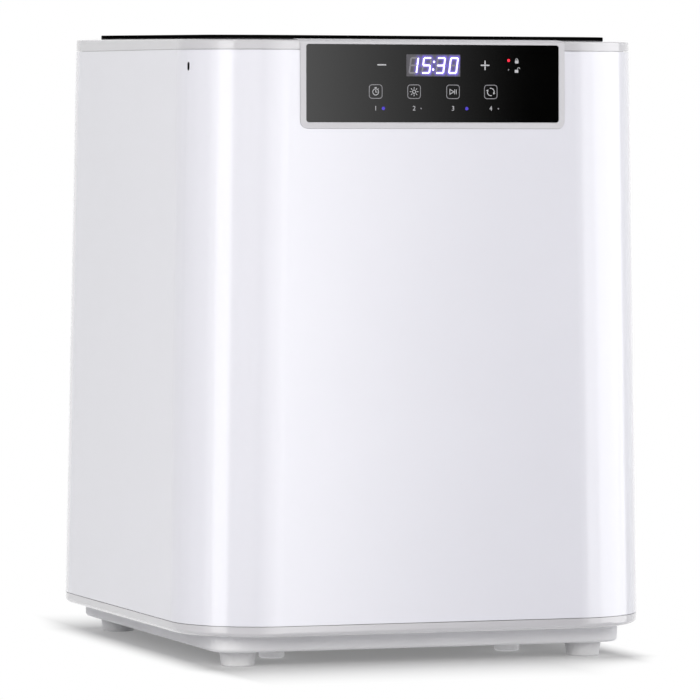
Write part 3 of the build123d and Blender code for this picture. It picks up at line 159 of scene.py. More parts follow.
# black moulded ABS inside and at the rear, fine matt
material, tree, shader = newMaterial("mattBlackAbs", IOR=1.53)
addFinish(tree, shader, ("#131314", "#1B1B1D"), toneMm=15, rough=(0.42, 0.58),
          grainMm=0.5, reliefMm=0.015)
finishes["black_plastic"] = material

# natural nylon bush, milky and slightly waxy
material, tree, shader = newMaterial("naturalNylon", IOR=1.53,
                                     Subsurface_Weight=0.1, Subsurface_Scale=0.002)
addFinish(tree, shader, ("#D9D7CC", "#E4E2D8"), toneMm=6, rough=(0.38, 0.5),
          grainMm=0.5, reliefMm=0.008)
finishes["white_plastic"] = material

# glass-fibre board: green solder resist over copper tracks that lift it slightly
board = {
    "pitch": 9.0,           # of the tracks' pattern, in millimetres
    "trackLift": 0.05,
    "fibre": 0.6,           # thread spacing
    "rough": (0.25, 0.4),
}
material, tree, shader = newMaterial("solderResistBoard", IOR=1.5)
where = addNode(tree, "ShaderNodeTexCoord")
tracks = addNode(tree, "ShaderNodeTexBrick",
                 {"Color1": colour("#0E4A24"), "Color2": colour("#115A2C"), "Mortar": colour("#1C7A40"),
                  "Scale": 1 / (board["pitch"] * mm), "Mortar Size": 0.05, "Brick Width": 0.7,
                  "Row Height": 0.28, "offset": 0.37}, {"Vector": where.outputs["Object"]})
fibre = addNode(tree, "ShaderNodeTexNoise", {"Scale": 1 / (board["fibre"] * mm), "Detail": 3},
                {"Vector": where.outputs["Object"]})
spread = addNode(tree, "ShaderNodeMapRange", {"To Min": board["rough"][0], "To Max": board["rough"][1]},
                 {"Value": fibre.outputs["Fac"]})
relief = addNode(tree, "ShaderNodeBump", {"Strength": 1.0, "Distance": board["trackLift"] * mm},
                 {"Height": tracks.outputs["Fac"]})
tree.links.new(tracks.outputs["Color"], shader.inputs["Base Color"])
tree.links.new(spread.outputs["Result"], shader.inputs["Roughness"])
tree.links.new(relief.outputs["Normal"], shader.inputs["Normal"])
finishes["circuit_board"] = material

# stainless sheet polished to a mirror, with the faint upright lines of the belt
material, tree, shader = newMaterial("polishedStainless", Metallic=1.0)
addFinish(tree, shader, ("#C4C5C7", "#CFD0D2"), toneMm=60, rough=(0.07, 0.13),
          grainMm=0.8, reliefMm=0.0006, stretch=(1, 1, 0.03))
finishes["polished_steel"] = material

# zinc-plated mild steel: bluish, softly spangled
material, tree, shader = newMaterial("zincPlatedSteel", Metallic=1.0)
addFinish(tree, shader, ("#A3A6AC", "#BDBFC4"), toneMm=5, rough=(0.26, 0.40),
          grainMm=0.5, reliefMm=0.006)
finishes["zinc_steel"] = material

# clear-anodised extrusion, drawn lines running along the bars
material, tree, shader = newMaterial("anodisedAluminium", Metallic=1.0)
addFinish(tree, shader, ("#C2C4C6", "#D2D3D5"), toneMm=25, rough=(0.28, 0.38),
          grainMm=0.5, reliefMm=0.004, stretch=(1, 1, 0.05))
finishes["aluminium"] = material

# cast acrylic, clear with a faint cool edge
material, tree, shader = newMaterial("clearAcrylic", IOR=1.49, Transmission_Weight=0.96)
addFinish(tree, shader, ("#EAF2F4", "#F2F7F8"), toneMm=60, rough=(0.02, 0.05),
          grainMm=15, reliefMm=0.0003, detail=1)
finishes["clear_acrylic"] = material

# phosphor lens of the emitters: yellow gel under a glossy dome
material, tree, shader = newMaterial("phosphorLens", IOR=1.5, Coat_Weight=0.6)
addFinish(tree, shader, ("#D8C24A", "#E6D670"), toneMm=2, rough=(0.2, 0.3),
          grainMm=0.4, reliefMm=0.004)
finishes["emitter"] = material

# soft black silicone: matt, a little greyer where it is rubbed
material, tree, shader = newMaterial("blackSilicone", IOR=1.43)
addFinish(tree, shader, ("#151516", "#1E1E1F"), toneMm=8, rough=(0.55, 0.7),
          grainMm=0.8, reliefMm=0.01)
finishes["seal_rubber"] = material

# plated brass blades: warm, with a soft mirror
material, tree, shader = newMaterial("platedBrass", Metallic=1.0)
addFinish(tree, shader, ("#C9B27A", "#D8C592"), toneMm=4, rough=(0.2, 0.3),
          grainMm=0.4, reliefMm=0.003)
finishes["brass_contact"] = material

for part in frame["record"]["subparts"]:
    for holder in nodes[part["node"]].material_slots:
        holder.material = finishes[part["material_slot"]]
nodes["control_bezel"].material_slots[0].material = finishes["bezel"]
nodes["inner_feet"].material_slots[0].material = finishes["pads"]


def printMaterial(name, inks, glow=0.0, glowColour="#FFFFFF"):
    # screen ink on the back of the glass, seen through it: even, with a slight mottle
    material, tree, shader = newMaterial(name, IOR=1.45, Emission_Strength=glow,
                                         Emission_Color=colour(glowColour))
    addFinish(tree, shader, inks, toneMm=1.5, rough=(0.3, 0.4),
              grainMm=0.4, reliefMm=0.001)
    return material


inkWhite = printMaterial("whiteInk", ("#9C9CA0", "#A8A8AC"), 0.16, "#D8D8DC")
inkGrey = printMaterial("greyInk", ("#78777C", "#86858A"))
ghostInk = printMaterial("unlitSegment", ("#77757C", "#807E86"))
litSegment = printMaterial("litSegment", ("#E9E4FF", "#F4F0FF"), 1.0, "#F1ECFF")
blueLamp = printMaterial("blueLampLens", ("#2E2490", "#382CA2"), 0.4, "#4A39C4")
redLamp = printMaterial("redLampLens", ("#C81028", "#D8142E"), 0.9, "#FF1230")

print("control panel")
# lengths on the panel are in millimetres, places are from the middle of the print
panel = {
    "lean": 0.832,        # degrees, as the casing's front
    "thick": 2.0,         # of the glass
    "lift": 0.03,         # prints stand this far before the glass
    "inkStep": 0.03,      # between two prints that lie on each other
    "across": -0.5,       # the whole print beside the glass's middle
    "rise": 0.4,          # and above it
}
glassLow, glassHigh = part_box("control_glass")
lean = math.radians(panel["lean"])
panelUp = Vector((0, math.sin(lean), math.cos(lean)))
panelOut = Vector((0, -math.cos(lean), math.sin(lean)))
backDip = panel["thick"] * mm * math.sin(lean)      # the back's foot is this much lower than the face's
faceFoot = Vector(((glassLow[0] + glassHigh[0]) / 2, glassLow[1], glassLow[2] + backDip))
faceRise = (glassHigh[2] - glassLow[2] - backDip) / math.cos(lean)
faceMiddle = faceFoot + panelUp * (faceRise / 2 + panel["rise"] * mm) + Vector((panel["across"] * mm, 0, 0))


def onPanel(x, rise, layer=0, turn=0.0, slant=0.0):
    # matrix from a drawing in the XY plane to its place on the panel's face
    axes = Matrix((Vector((1, 0, 0)), panelUp, panelOut)).transposed().to_4x4()
    out = (panel["lift"] + layer * panel["inkStep"]) * mm
    place = Matrix.Translation(faceMiddle + Vector((x * mm, 0, 0)) + panelUp * rise * mm + panelOut * out)
    shear = Matrix.Identity(4)
    shear[0][1] = math.tan(math.radians(slant))
    return place @ axes @ shear @ Matrix.Rotation(math.radians(turn), 4, "Z")


def addPrimitive(kind, name, **settings):
    # a primitive alone in the selection, under its own name
    bpy.ops.object.select_all(action="DESELECT")
    getattr(bpy.ops.mesh, f"primitive_{kind}_add")(**settings)
    piece = bpy.context.active_object
    piece.name = piece.data.name = name
    return piece


def edit(piece, *steps):
    # runs edit-mode operators on a whole mesh
    bpy.ops.object.select_all(action="DESELECT")
    piece.select_set(True)
    bpy.context.view_layer.objects.active = piece
    bpy.ops.object.mode_set(mode="EDIT")
    bpy.ops.mesh.select_all(action="SELECT")
    for step in steps:
        step()
    bpy.ops.object.mode_set(mode="OBJECT")
    return piece


def dropFaces(piece, unwanted):
    # deletes the faces that pass a test
    edit(
        piece,
        lambda: bpy.ops.mesh.select_mode(type="FACE"),
        lambda: bpy.ops.mesh.select_all(action="DESELECT"),
    )
    for face in piece.data.polygons:
        face.select = unwanted(face)
    bpy.ops.object.mode_set(mode="EDIT")
    bpy.ops.mesh.delete(type="FACE")
    bpy.ops.object.mode_set(mode="OBJECT")
    return piece


def hollow(piece, line):
    # leaves an outline of a flat piece, its line this wide
    return edit(
        piece,
        lambda: bpy.ops.mesh.inset(thickness=line * mm),
        lambda: bpy.ops.mesh.delete(type="FACE"),
    )


def bar(name, width, height, corner):
    # flat bar with rounded corners, in millimetres
    piece = addPrimitive("plane", name, size=1)
    return edit(
        piece,
        lambda: bpy.ops.transform.resize(value=(width * mm, height * mm, 1)),
        lambda: bpy.ops.mesh.bevel(affect="VERTICES", offset=corner * mm, segments=4),
    )


def ring(name, outer, line, sides=40):
    # flat ring of an outer radius and a line width
    return hollow(addPrimitive("circle", name, vertices=sides, radius=outer * mm, fill_type="NGON"), line)


def frameOf(name, width, height, corner, line):
    # outline of a rounded rectangle
    return hollow(bar(name, width, height, corner), line)


def dot(name, radius):
    # small round spot
    return addPrimitive("circle", name, vertices=24, radius=radius * mm, fill_type="NGON")


def placed(piece, matrix):
    # a copy of a piece with its own mesh, moved in the mesh
    twin = piece.copy()
    twin.data = piece.data.copy()
    bpy.context.scene.collection.objects.link(twin)
    twin.data.transform(matrix)
    return twin


def joined(name, parts, material):
    # one print made of its parts, in one ink
    bpy.ops.object.select_all(action="DESELECT")
    for part in parts:
        part.select_set(True)
    bpy.context.view_layer.objects.active = parts[0]
    bpy.ops.object.join()
    piece = bpy.context.active_object
    piece.name = piece.data.name = name
    piece.data.materials.clear()
    piece.data.materials.append(material)
    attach(piece, "root")
    return piece


def shift(x=0.0, y=0.0, turn=0.0):
    # matrix of a move in a drawing, in millimetres, after a turn in degrees
    return Matrix.Translation((x * mm, y * mm, 0)) @ Matrix.Rotation(math.radians(turn), 4, "Z")


def dropShape(*shapes):
    # takes away shapes that were only there to be copied
    for shape in shapes:
        bpy.data.objects.remove(shape)


# four seven-segment digits and a colon
display = {
    "rise": 11.15,
    "digits": "1530",
    "places": (-12.9, -4.15, 5.33, 14.14),
    "height": 10.6,
    "width": 5.9,
    "stroke": 1.05,
    "corner": 0.5,
    "gap": 0.28,            # between two strokes, each side of their corner
    "slant": 8.0,
    "colon": ((0.9, 2.3), (0.2, -2.6)),
    "colonRadius": 0.72,
    "window": (36.6, 14.0),
    "windowX": 0.4,
    "windowStep": 0.35,     # between the points that hold the glow
    "glowReach": 1.35,      # from a lit stroke to where the glow is down to a third
}
# strokes are lettered clockwise from the top, and g is the middle one
segmentsOf = {"0": "abcdef", "1": "bc", "3": "abcdg", "5": "acdfg"}
across = display["width"] - display["stroke"]
halfUp = (display["height"] - display["stroke"]) / 2
halfStroke = display["stroke"] * 0.5
acrossBar = bar("acrossBar", across - 2 * display["gap"] + halfStroke, display["stroke"], display["corner"])
uprightBar = bar("uprightBar", display["stroke"], halfUp - 2 * display["gap"] + halfStroke,
                 display["corner"])
segmentPlaces = {
    "a": (acrossBar, 0, halfUp),
    "g": (acrossBar, 0, 0),
    "d": (acrossBar, 0, -halfUp),
    "f": (uprightBar, -across / 2, halfUp / 2),
    "b": (uprightBar, across / 2, halfUp / 2),
    "e": (uprightBar, -across / 2, -halfUp / 2),
    "c": (uprightBar, across / 2, -halfUp / 2),
}
slantStep = math.tan(math.radians(display["slant"]))
lit, ghosts, litLines = [], [], []
for digit, x in zip(display["digits"], display["places"]):
    toPanel = onPanel(x, display["rise"], layer=2, slant=display["slant"])
    toPanelBack = onPanel(x, display["rise"], layer=1, slant=display["slant"])
    for letter, (shape, sx, sy) in segmentPlaces.items():
        if letter in segmentsOf[digit]:
            lit.append(placed(shape, toPanel @ shift(sx, sy)))
            upright = shape is uprightBar
            half = (halfUp if upright else across) / 2 - display["gap"]
            dx, dy = (0, half) if upright else (half, 0)
            ends = ((sx - dx, sy - dy), (sx + dx, sy + dy))
            litLines.append([(x + px + py * slantStep, py) for px, py in ends])
        else:
            ghosts.append(placed(shape, toPanelBack @ shift(sx, sy)))
colonDot = dot("colonDot", display["colonRadius"])
for x, y in display["colon"]:
    lit.append(placed(colonDot, onPanel(x, display["rise"] + y, layer=2)))
    litLines.append([(x, y), (x, y)])
joined("litSegments", lit, litSegment)
joined("unlitSegments", ghosts, ghostInk)
dropShape(acrossBar, uprightBar, colonDot)

# the display's window, with the segments' glow kept on its points
width, height = display["window"]
columns, rows = round(width / display["windowStep"]), round(height / display["windowStep"])
window = addPrimitive("grid", "displayWindow", x_subdivisions=columns, y_subdivisions=rows, size=1)
edit(window, lambda: bpy.ops.transform.resize(value=(width * mm, height * mm, 1)))


def nearness(x, y, line):
    # distance in millimetres from a point to a lit stroke
    (ax, ay), (bx, by) = line
    length = (bx - ax) ** 2 + (by - ay) ** 2
    along = 0
    if length:
        along = max(0, min(1, ((x - ax) * (bx - ax) + (y - ay) * (by - ay)) / length))
    return math.hypot(x - ax - along * (bx - ax), y - ay - along * (by - ay))


glow = window.data.attributes.new("glow", "FLOAT", "POINT")
for vertex in window.data.vertices:
    x, y = vertex.co.x / mm + display["windowX"], vertex.co.y / mm
    total = sum(math.exp(-(nearness(x, y, line) / display["glowReach"]) ** 2) for line in litLines)
    glow.data[vertex.index].value = min(1.0, total)
window.data.transform(onPanel(display["windowX"], display["rise"]))
material, tree, shader = newMaterial("displayFilter", IOR=1.45, Emission_Strength=1.15)
addFinish(tree, shader, ("#464449", "#4C4A50"), toneMm=3, rough=(0.3, 0.4),
          grainMm=0.5, reliefMm=0.001)
halo = addNode(tree, "ShaderNodeAttribute", {"attribute_name": "glow"})
haloColour = addNode(tree, "ShaderNodeMix",
                     {"data_type": "RGBA", 6: colour("#000000"), 7: colour("#5B46C8")},
                     {0: halo.outputs["Fac"]})
tree.links.new(haloColour.outputs[2], shader.inputs["Emission Color"])
window.data.materials.append(material)
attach(window, "root")

# four touch keys: an outline with a pictogram and a number under it
keys = {
    "places": (-38.7, -12.7, 13.8, 39.6),
    "drop": -5.6,
    "size": 9.15,
    "corner": 2.0,
    "line": 0.5,
    "numberDrop": -16.3,
    "numberHeight": 3.0,
    "fontPerHeight": 1.4,   # the font's size for a numeral one high
}
outline = frameOf("keyOutline", keys["size"], keys["size"], keys["corner"], keys["line"])
outlines = [placed(outline, onPanel(x, keys["drop"])) for x in keys["places"]]
joined("keyOutlines", outlines, inkGrey)
dropShape(outline)

iconLine = 0.42
pictograms = []

# timer: a ring with two hands, a stalk on top and a small button at its shoulder
timer = {
    "lower": 0.25,          # than the key's middle
    "radius": 2.2,
    "corner": 0.12,
    "hand": 1.5,
    "hands": ((0, 0.6, 0), (0.5, -0.1, -90)),
    "stalk": (1.5, 0.55),
    "stalkRise": 2.75,
    "button": (1.85, 2.0, -42),
    "buttonShare": 0.6,     # of the stalk's size
}
face = ring("timerFace", timer["radius"], iconLine)
hand = bar("timerHand", iconLine, timer["hand"], timer["corner"])
stalk = bar("timerStalk", *timer["stalk"], timer["corner"])
toKey = onPanel(keys["places"][0], keys["drop"] - timer["lower"])
pictograms.append(placed(face, toKey))
for place in timer["hands"]:
    pictograms.append(placed(hand, toKey @ shift(*place)))
pictograms.append(placed(stalk, toKey @ shift(0, timer["stalkRise"])))
toButton = toKey @ shift(*timer["button"]) @ Matrix.Scale(timer["buttonShare"], 4)
pictograms.append(placed(stalk, toButton))
dropShape(face, hand, stalk)

# sun: a small ring and eight rays
sun = {"core": 1.05, "rays": 8, "ray": 1.2, "corner": 0.1, "reach": 2.35}
core = ring("sunCore", sun["core"] + iconLine / 2, iconLine, sides=24)
ray = bar("sunRay", iconLine, sun["ray"], sun["corner"])
toKey = onPanel(keys["places"][1], keys["drop"])
pictograms.append(placed(core, toKey))
for step in range(sun["rays"]):
    toRay = shift(turn=360 / sun["rays"] * step) @ shift(0, sun["reach"])
    pictograms.append(placed(ray, toKey @ toRay))
dropShape(core, ray)

# play and pause: an outlined triangle and two bars
play = {"radius": 2.25, "triangleAt": -1.25, "bar": 3.1, "corner": 0.1, "barsAt": (1.1, 2.2)}
triangle = addPrimitive("circle", "playTriangle", vertices=3, radius=play["radius"] * mm, fill_type="NGON")
hollow(triangle, iconLine)
pause = bar("pauseBar", iconLine, play["bar"], play["corner"])
toKey = onPanel(keys["places"][2], keys["drop"])
pictograms.append(placed(triangle, toKey @ shift(play["triangleAt"], 0, -90)))
for x in play["barsAt"]:
    pictograms.append(placed(pause, toKey @ shift(x, 0)))
dropShape(triangle, pause)

# cycle: two arcs that chase each other, each with a head
cycle = {"radius": 2.35, "line": 0.5, "arc": (20, 138), "turns": (-35, 145), "head": 0.95, "headAt": 14}
arc = ring("cycleArc", cycle["radius"] + cycle["line"] / 2, cycle["line"], sides=36)


def besideArc(face):
    start, end = cycle["arc"]
    return not start < math.degrees(math.atan2(face.center.y, face.center.x)) < end


dropFaces(arc, besideArc)
head = addPrimitive("circle", "cycleHead", vertices=3, radius=cycle["head"] * mm, fill_type="NGON")
angle = math.radians(cycle["headAt"])
toHead = shift(cycle["radius"] * math.cos(angle), cycle["radius"] * math.sin(angle), 180)
toKey = onPanel(keys["places"][3], keys["drop"])
for turn in cycle["turns"]:
    half = toKey @ shift(turn=turn)
    pictograms.append(placed(arc, half))
    pictograms.append(placed(head, half @ toHead))
dropShape(arc, head)
joined("keyPictograms", pictograms, inkWhite)

# plain numbers under the keys
numbers = []
for index, x in enumerate(keys["places"]):
    bpy.ops.object.select_all(action="DESELECT")
    bpy.ops.object.text_add()
    words = bpy.context.active_object
    words.data.body = str(index + 1)
    words.data.size = keys["numberHeight"] * keys["fontPerHeight"] * mm
    words.data.align_x = "CENTER"
    words.data.align_y = "CENTER"
    bpy.ops.object.convert(target="MESH")
    words.data.transform(onPanel(x, keys["numberDrop"]))
    numbers.append(words)
joined("keyNumbers", numbers, inkWhite)

# minus and plus
signs = {"minus": (-34.6, 11.4), "plus": (35.7, 11.4), "length": 6.0, "line": 0.85, "corner": 0.25}
stroke = bar("signStroke", signs["length"], signs["line"], signs["corner"])
minusSign = placed(stroke, onPanel(*signs["minus"]))
plusAcross = placed(stroke, onPanel(*signs["plus"]))
plusUp = placed(stroke, onPanel(*signs["plus"], layer=1, turn=90))
joined("minusAndPlus", [minusSign, plusAcross, plusUp], inkWhite)
dropShape(stroke)

# closed and open padlock
padlock = {
    "closed": (57.4, 14.1),
    "open": (57.3, 8.1),
    "body": (2.4, 1.9),
    "bodyCorner": 0.3,
    "bodyDrop": 0.4,
    "line": 0.36,
    "shackle": 0.78,        # radius of its middle line
    "shackleSink": 0.1,     # below the body's top
    "leg": 0.9,
    "legCorner": 0.05,
    "legSink": 0.5,
    "openLift": 0.3,
    "openSlide": 1.5,
}
body = bar("lockBody", *padlock["body"], padlock["bodyCorner"])
shackle = ring("lockShackle", padlock["shackle"] + padlock["line"] / 2, padlock["line"], sides=24)
dropFaces(shackle, lambda face: face.center.y < 0)
leg = bar("lockLeg", padlock["line"], padlock["leg"], padlock["legCorner"])
top = padlock["body"][1] / 2
locks = []
for place, lift, slide in (
    (padlock["closed"], 0, 0),
    (padlock["open"], padlock["openLift"], padlock["openSlide"]),
):
    toLock = onPanel(*place)
    locks.append(placed(body, toLock @ shift(0, -padlock["bodyDrop"])))
    locks.append(placed(shackle, toLock @ shift(slide, top - padlock["shackleSink"] + lift)))
    for side in (-1, 1):
        if slide == 0 or side == -1:      # the open shackle's free leg is left off
            x = slide + side * padlock["shackle"]
            locks.append(placed(leg, toLock @ shift(x, top - padlock["legSink"] + lift)))
joined("padlockSigns", locks, inkWhite)
dropShape(body, shackle, leg)

# lamps: beside the numbers two lit blue and two dark, beside the padlocks one dark and one lit red
lamps = {
    "radius": {"blue": 1.1, "grey": 0.5, "red": 0.95},
    "blue": ((-33.5, keys["numberDrop"]), (23.2, keys["numberDrop"])),
    "grey": ((-8.0, keys["numberDrop"]), (44.8, keys["numberDrop"]), (51.8, 8.7)),
    "red": ((51.9, 14.6),),
}
for tone, name, lens in (
    ("blue", "blueLamps", blueLamp),
    ("grey", "darkLamps", inkGrey),
    ("red", "redLamp", redLamp),
):
    spot = dot(f"{tone}Spot", lamps["radius"][tone])
    joined(name, [placed(spot, onPanel(*place)) for place in lamps[tone]], lens)
    dropShape(spot)

print("release slot")
# matt black sleeve set in the release slot as painted shade: it keeps the slot's bore dark, as a deep slot
# looks in shade
shadeSleeve = {
    "mouth": (-151.118, -123.092, 382.6),   # middle of the slot on the casing's skin
    "angle": 16.5,          # from the left side, round the corner
    "size": (2.56, 5.46),   # millimetres, as all lengths here
    "roundLess": 0.02,      # its ends are this much short of a half circle, so that no edge is lost
    "wall": 0.3,
    "sunk": 0.25,           # its mouth inside the skin
    "deep": 2.6,
}
angle = math.radians(shadeSleeve["angle"])
outward = Vector((-math.cos(angle), -math.sin(angle), 0))
rounding = shadeSleeve["size"][0] / 2 - shadeSleeve["roundLess"]
piece = frameOf("releaseSlotShade", *shadeSleeve["size"], rounding, shadeSleeve["wall"])
inward = {"value": (0, 0, -shadeSleeve["deep"] * mm)}
edit(
    piece,
    lambda: bpy.ops.mesh.extrude_region_move(TRANSFORM_OT_translate=inward),
    lambda: bpy.ops.mesh.normals_make_consistent(inside=False),
)
sideways = Vector((math.sin(angle), -math.cos(angle), 0))
axes = Matrix((sideways, Vector((0, 0, 1)), outward)).transposed().to_4x4()
piece.data.transform(Matrix.Translation((Vector(shadeSleeve["mouth"]) - outward * shadeSleeve["sunk"]) * mm) @ axes)
piece.data.materials.append(finishes["black_plastic"])
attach(piece, "root")

print("lid edge")
# a film over the glass's edge and its small bevels, in millimetres
paint = {
    "film": 0.03,
    "merge": 0.001,
    "flat": 0.9,            # a face whose normal's Z is past this is the glass's top or underside
}
piece = bpy.data.objects.new("lidEdgePaint", nodes["lid_glass"].data.copy())
bpy.context.scene.collection.objects.link(piece)
edit(piece, lambda: bpy.ops.mesh.remove_doubles(threshold=paint["merge"] * mm))
dropFaces(piece, lambda face: abs(face.normal.z) > paint["flat"])
for vertex in piece.data.vertices:
    vertex.co += vertex.normal * paint["film"] * mm
piece.data.materials.clear()
piece.data.materials.append(finishes["edge_paint"])
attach(piece, "lid")

print("studio")


def backgroundRays(tree):
    # 1 for the rays that show the background: straight, mirrored or through glass
    rays = addNode(tree, "ShaderNodeLightPath")
    clear = addNode(tree, "ShaderNodeMath", {"operation": "MAXIMUM"},
                    {0: rays.outputs["Is Camera Ray"], 1: rays.outputs["Is Transmission Ray"]})
    return addNode(tree, "ShaderNodeMath", {"operation": "MAXIMUM"},
                   {0: clear.outputs[0], 1: rays.outputs["Is Glossy Ray"]}).outputs[0]


# in metres
floorSheet = {
    "size": 14.0,
    "inset": 0.0191,            # the plinth's foot inside the bottom band
    "tone": 0.65,               # painted shade: its colour is scaled by this by the plinth, as a background
    "sideways": 4.5,            # the fade counts distance along X this many times
    "rightEnd": (0.08, 0.18),   # between these distances right of the middle, that along Y
    "endWeight": 3.2,           # goes from once to this many times
    "fadeFrom": -0.05,
    "fadeTo": 0.12,
}
floor = addPrimitive("plane", "studioFloor", size=floorSheet["size"])
material, tree, shader = newMaterial("paperSweep", IOR=1.4, Specular_IOR_Level=0.0)
addFinish(tree, shader, ("#F1F1F2", "#F3F3F4"), toneMm=400, rough=(0.88, 0.92),
          grainMm=3, reliefMm=0.01)
# painted shade: as a background the sheet is made a little darker by the plinth, and fades to plain white
# away from it
halfX, halfY = (reach - floorSheet["inset"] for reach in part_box("bottom_band")[1][:2])
clear = backgroundRays(tree)
paper = shader.inputs["Base Color"].links[0].from_socket
paintedShade = addNode(tree, "ShaderNodeVectorMath", {"operation": "SCALE", "Scale": floorSheet["tone"]},
                 {0: paper})
shown = addNode(tree, "ShaderNodeMix", {"data_type": "RGBA"},
                {0: clear, 6: paper, 7: paintedShade.outputs["Vector"]})
tree.links.new(shown.outputs[2], shader.inputs["Base Color"])
where = addNode(tree, "ShaderNodeTexCoord")
mirrored = addNode(tree, "ShaderNodeVectorMath", {"operation": "ABSOLUTE"},
                   {0: where.outputs["Object"]})
beyond = addNode(tree, "ShaderNodeVectorMath", {"operation": "SUBTRACT", 1: (halfX, halfY, 0)},
                 {0: mirrored.outputs["Vector"]})
outside = addNode(tree, "ShaderNodeVectorMath", {"operation": "MAXIMUM"}, {0: beyond.outputs["Vector"]})
apart = addNode(tree, "ShaderNodeSeparateXYZ", {}, {0: outside.outputs["Vector"]})
fromMiddle = addNode(tree, "ShaderNodeSeparateXYZ", {}, {0: where.outputs["Object"]})
weight = addNode(tree, "ShaderNodeMapRange",
                 {"From Min": floorSheet["rightEnd"][0], "From Max": floorSheet["rightEnd"][1],
                  "To Min": 1.0, "To Max": floorSheet["endWeight"]},
                 {"Value": fromMiddle.outputs["X"]})
along = addNode(tree, "ShaderNodeMath", {"operation": "MULTIPLY"},
                {0: apart.outputs["Y"], 1: weight.outputs["Result"]})
away = addNode(tree, "ShaderNodeMath", {"operation": "MULTIPLY_ADD", 1: floorSheet["sideways"]},
               {0: apart.outputs["X"], 2: along.outputs[0]})
fade = addNode(tree, "ShaderNodeMapRange",
               {"interpolation_type": "SMOOTHSTEP", "From Min": floorSheet["fadeFrom"],
                "From Max": floorSheet["fadeTo"]}, {"Value": away.outputs["Value"]})
seen = addNode(tree, "ShaderNodeMath", {"operation": "MULTIPLY"},
               {0: fade.outputs["Result"], 1: clear})
white = addNode(tree, "ShaderNodeEmission", {"Color": (1, 1, 1, 1), "Strength": 1.0})
blend = addNode(tree, "ShaderNodeMixShader", {},
                {0: seen.outputs[0], 1: shader.outputs["BSDF"], 2: white.outputs["Emission"]})
tree.links.new(blend.outputs["Shader"], tree.nodes["Material Output"].inputs["Surface"])
floor.data.materials.append(material)
floor.visible_glossy = False      # the gloss mirrors the white room right down to the plinth

# the room's white: faint as light, full as a background
air = {"diffuse": 0.04, "seen": 1.0}
world = bpy.data.worlds.new("studioWorld")
bpy.context.scene.world = world
world.use_nodes = True
world.cycles.sampling_method = "NONE"
tree = world.node_tree
tree.nodes.clear()
strength = addNode(tree, "ShaderNodeMapRange", {"To Min": air["diffuse"], "To Max": air["seen"]},
                   {"Value": backgroundRays(tree)})
backdrop = addNode(tree, "ShaderNodeBackground", {"Color": (1, 1, 1, 1)},
                   {"Strength": strength.outputs["Result"]})
addNode(tree, "ShaderNodeOutputWorld", links={"Surface": backdrop.outputs["Background"]})

# azimuth from the front towards +X in degrees, distance, height and size in metres, radiance,
# and whether gloss mirrors it
softBoxes = {
    "stripLeft": (-64.5, 3.2, 0.6, (1.19, 4.4), 2.2, True),
    "leftEdge": (-80, 3.2, 0.6, (0.56, 4.4), 0.8, True),
    "sideFill": (-98, 3.2, 0.6, (1.6, 4.4), 0.12, True),
    "fillRight": (36, 1.6, 0.4, (0.68, 2.2), 1.07, True),
    "stripRight": (66, 1.6, 0.4, (1.04, 2.2), 2.07, True),
    "rightEdge": (90, 1.6, 0.4, (0.34, 2.2), 1.5, True),
    "key": (-30, 2.6, 1.2, (1.3, 1.3), 7.4, False),
    "topLeft": (-150, 0.7, 2.0, (0.8, 0.8), 2.6, False),
    "topRight": (150, 0.7, 2.0, (0.8, 0.8), 2.4, False),
    "rear": (180, 2.6, 1.2, (1.3, 1.3), 5.5, False),
}
tints = {"key": (1.0, 0.985, 0.95)}
lampAim = Vector((0, 0, 0.22))
for name, (azimuth, distance, height, size, radiance, mirrored) in softBoxes.items():
    turn = math.radians(azimuth)
    place = Vector((math.sin(turn) * distance, -math.cos(turn) * distance, height))
    data = bpy.data.lights.new(name, "AREA")
    data.shape = "RECTANGLE"
    data.size, data.size_y = size
    data.energy = radiance * math.pi * size[0] * size[1]
    data.color = tints.get(name, (1, 1, 1))
    lamp = bpy.data.objects.new(name, data)
    lamp.location = place
    lamp.rotation_euler = (lampAim - place).to_track_quat("-Z", "Y").to_euler()
    lamp.visible_glossy = mirrored
    bpy.context.scene.collection.objects.link(lamp)

# reflector in front, seen in gloss only: it brightens from its left end, falls to black before
# the middle and rises again towards the lamps on the right
reflector = {
    "front": 1.07,
    "height": 2.4,
    "middle": 0.4,          # of its height, above the floor
    # place along X, radiance
    "stops": ((-0.42, 0.6), (0.17, 2.95), (0.207, 2.95), (0.421, 0.0), (0.47, 0.0), (0.68, 1.1)),
    "falloff": 1.5,         # how fast it darkens after its brightest part
}
ends = [stop[0] for stop in reflector["stops"]]
card = addPrimitive("plane", "frontReflector", size=1)
card.data.transform(
    Matrix.Translation(((ends[0] + ends[-1]) / 2, -reflector["front"], reflector["middle"]))
    @ Matrix.Rotation(math.radians(90), 4, "X")
    @ Matrix.Diagonal((ends[-1] - ends[0], reflector["height"], 1, 1))
)
material = bpy.data.materials.new("reflectorCard")
material.use_nodes = True
tree = material.node_tree
tree.nodes.clear()
where = addNode(tree, "ShaderNodeTexCoord")
across = addNode(tree, "ShaderNodeSeparateXYZ", {}, {0: where.outputs["Object"]})


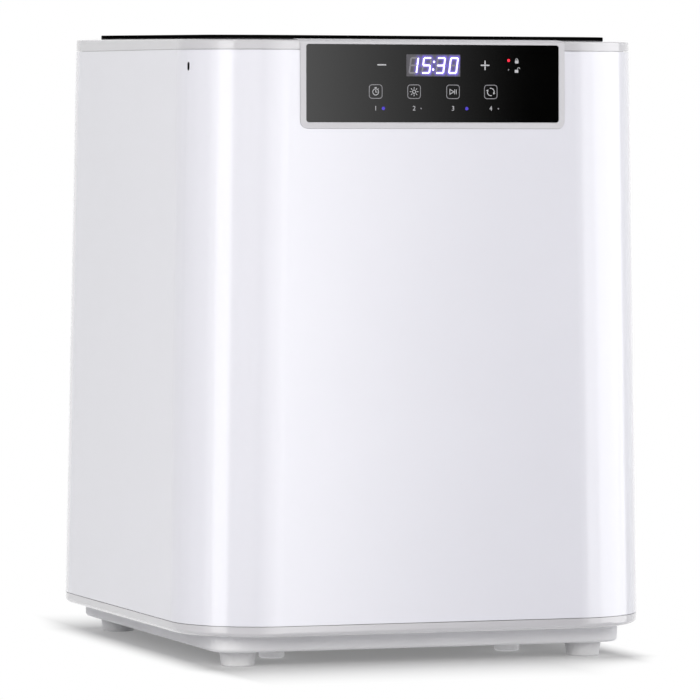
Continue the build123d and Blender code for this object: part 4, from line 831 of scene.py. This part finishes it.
def slope(start, end, bend=1.0):
    # radiance between two stops of the reflector, held before and after them
    ramp = addNode(tree, "ShaderNodeMapRange",
                   {"From Min": end[0], "From Max": start[0], "To Min": 0.0, "To Max": 1.0},
                   {"Value": across.outputs["X"]})
    curve = addNode(tree, "ShaderNodeMath", {"operation": "POWER", 1: bend}, {0: ramp.outputs["Result"]})
    return addNode(tree, "ShaderNodeMath", {"operation": "MULTIPLY_ADD", 1: start[1] - end[1], 2: end[1]},
                   {0: curve.outputs[0]}).outputs[0]


stops = reflector["stops"]
rising = slope(stops[0], stops[1])
falling = slope(stops[2], stops[3], reflector["falloff"])
again = slope(stops[4], stops[5])
lower = addNode(tree, "ShaderNodeMath", {"operation": "MINIMUM"}, {0: rising, 1: falling})
strength = addNode(tree, "ShaderNodeMath", {"operation": "MAXIMUM"}, {0: lower.outputs[0], 1: again})
light = addNode(tree, "ShaderNodeEmission", {"Color": (1, 1, 1, 1)}, {"Strength": strength.outputs[0]})
addNode(tree, "ShaderNodeOutputMaterial", links={"Surface": light.outputs["Emission"]})
card.data.materials.append(material)
card.visible_camera = card.visible_diffuse = card.visible_shadow = card.visible_transmission = False

# degrees and metres, lens and sensor in millimetres
view = {
    "azimuth": 19.584,      # towards the left front
    "pitch": 2.475,         # looking down
    "roll": 0.19,
    "distance": 3.8635,
    "aim": (0, 0, 0.19513),
    "slide": 0.00226,       # of the camera to its own right
    "lens": 298.41,
    "sensor": 36,
    "farClip": 100,
}
turn, dip, roll = (math.radians(view[key]) for key in ("azimuth", "pitch", "roll"))
forward = Vector((math.sin(turn) * math.cos(dip), math.cos(turn) * math.cos(dip), -math.sin(dip)))
right = Vector((math.cos(turn), -math.sin(turn), 0))
up = right.cross(forward)
rolledRight = right * math.cos(roll) + up * math.sin(roll)
rolledUp = up * math.cos(roll) - right * math.sin(roll)
data = bpy.data.cameras.new("studioCamera")
data.lens = view["lens"]
data.sensor_width = view["sensor"]
data.clip_end = view["farClip"]
camera = bpy.data.objects.new("studioCamera", data)
bpy.context.scene.collection.objects.link(camera)
place = Vector(view["aim"]) - forward * view["distance"] + rolledRight * view["slide"]
axes = Matrix((rolledRight, rolledUp, -forward)).transposed().to_4x4()
camera.matrix_world = Matrix.Translation(place) @ axes
bpy.context.scene.camera = camera
bpy.context.scene.view_settings.view_transform = "Standard"

print("done")
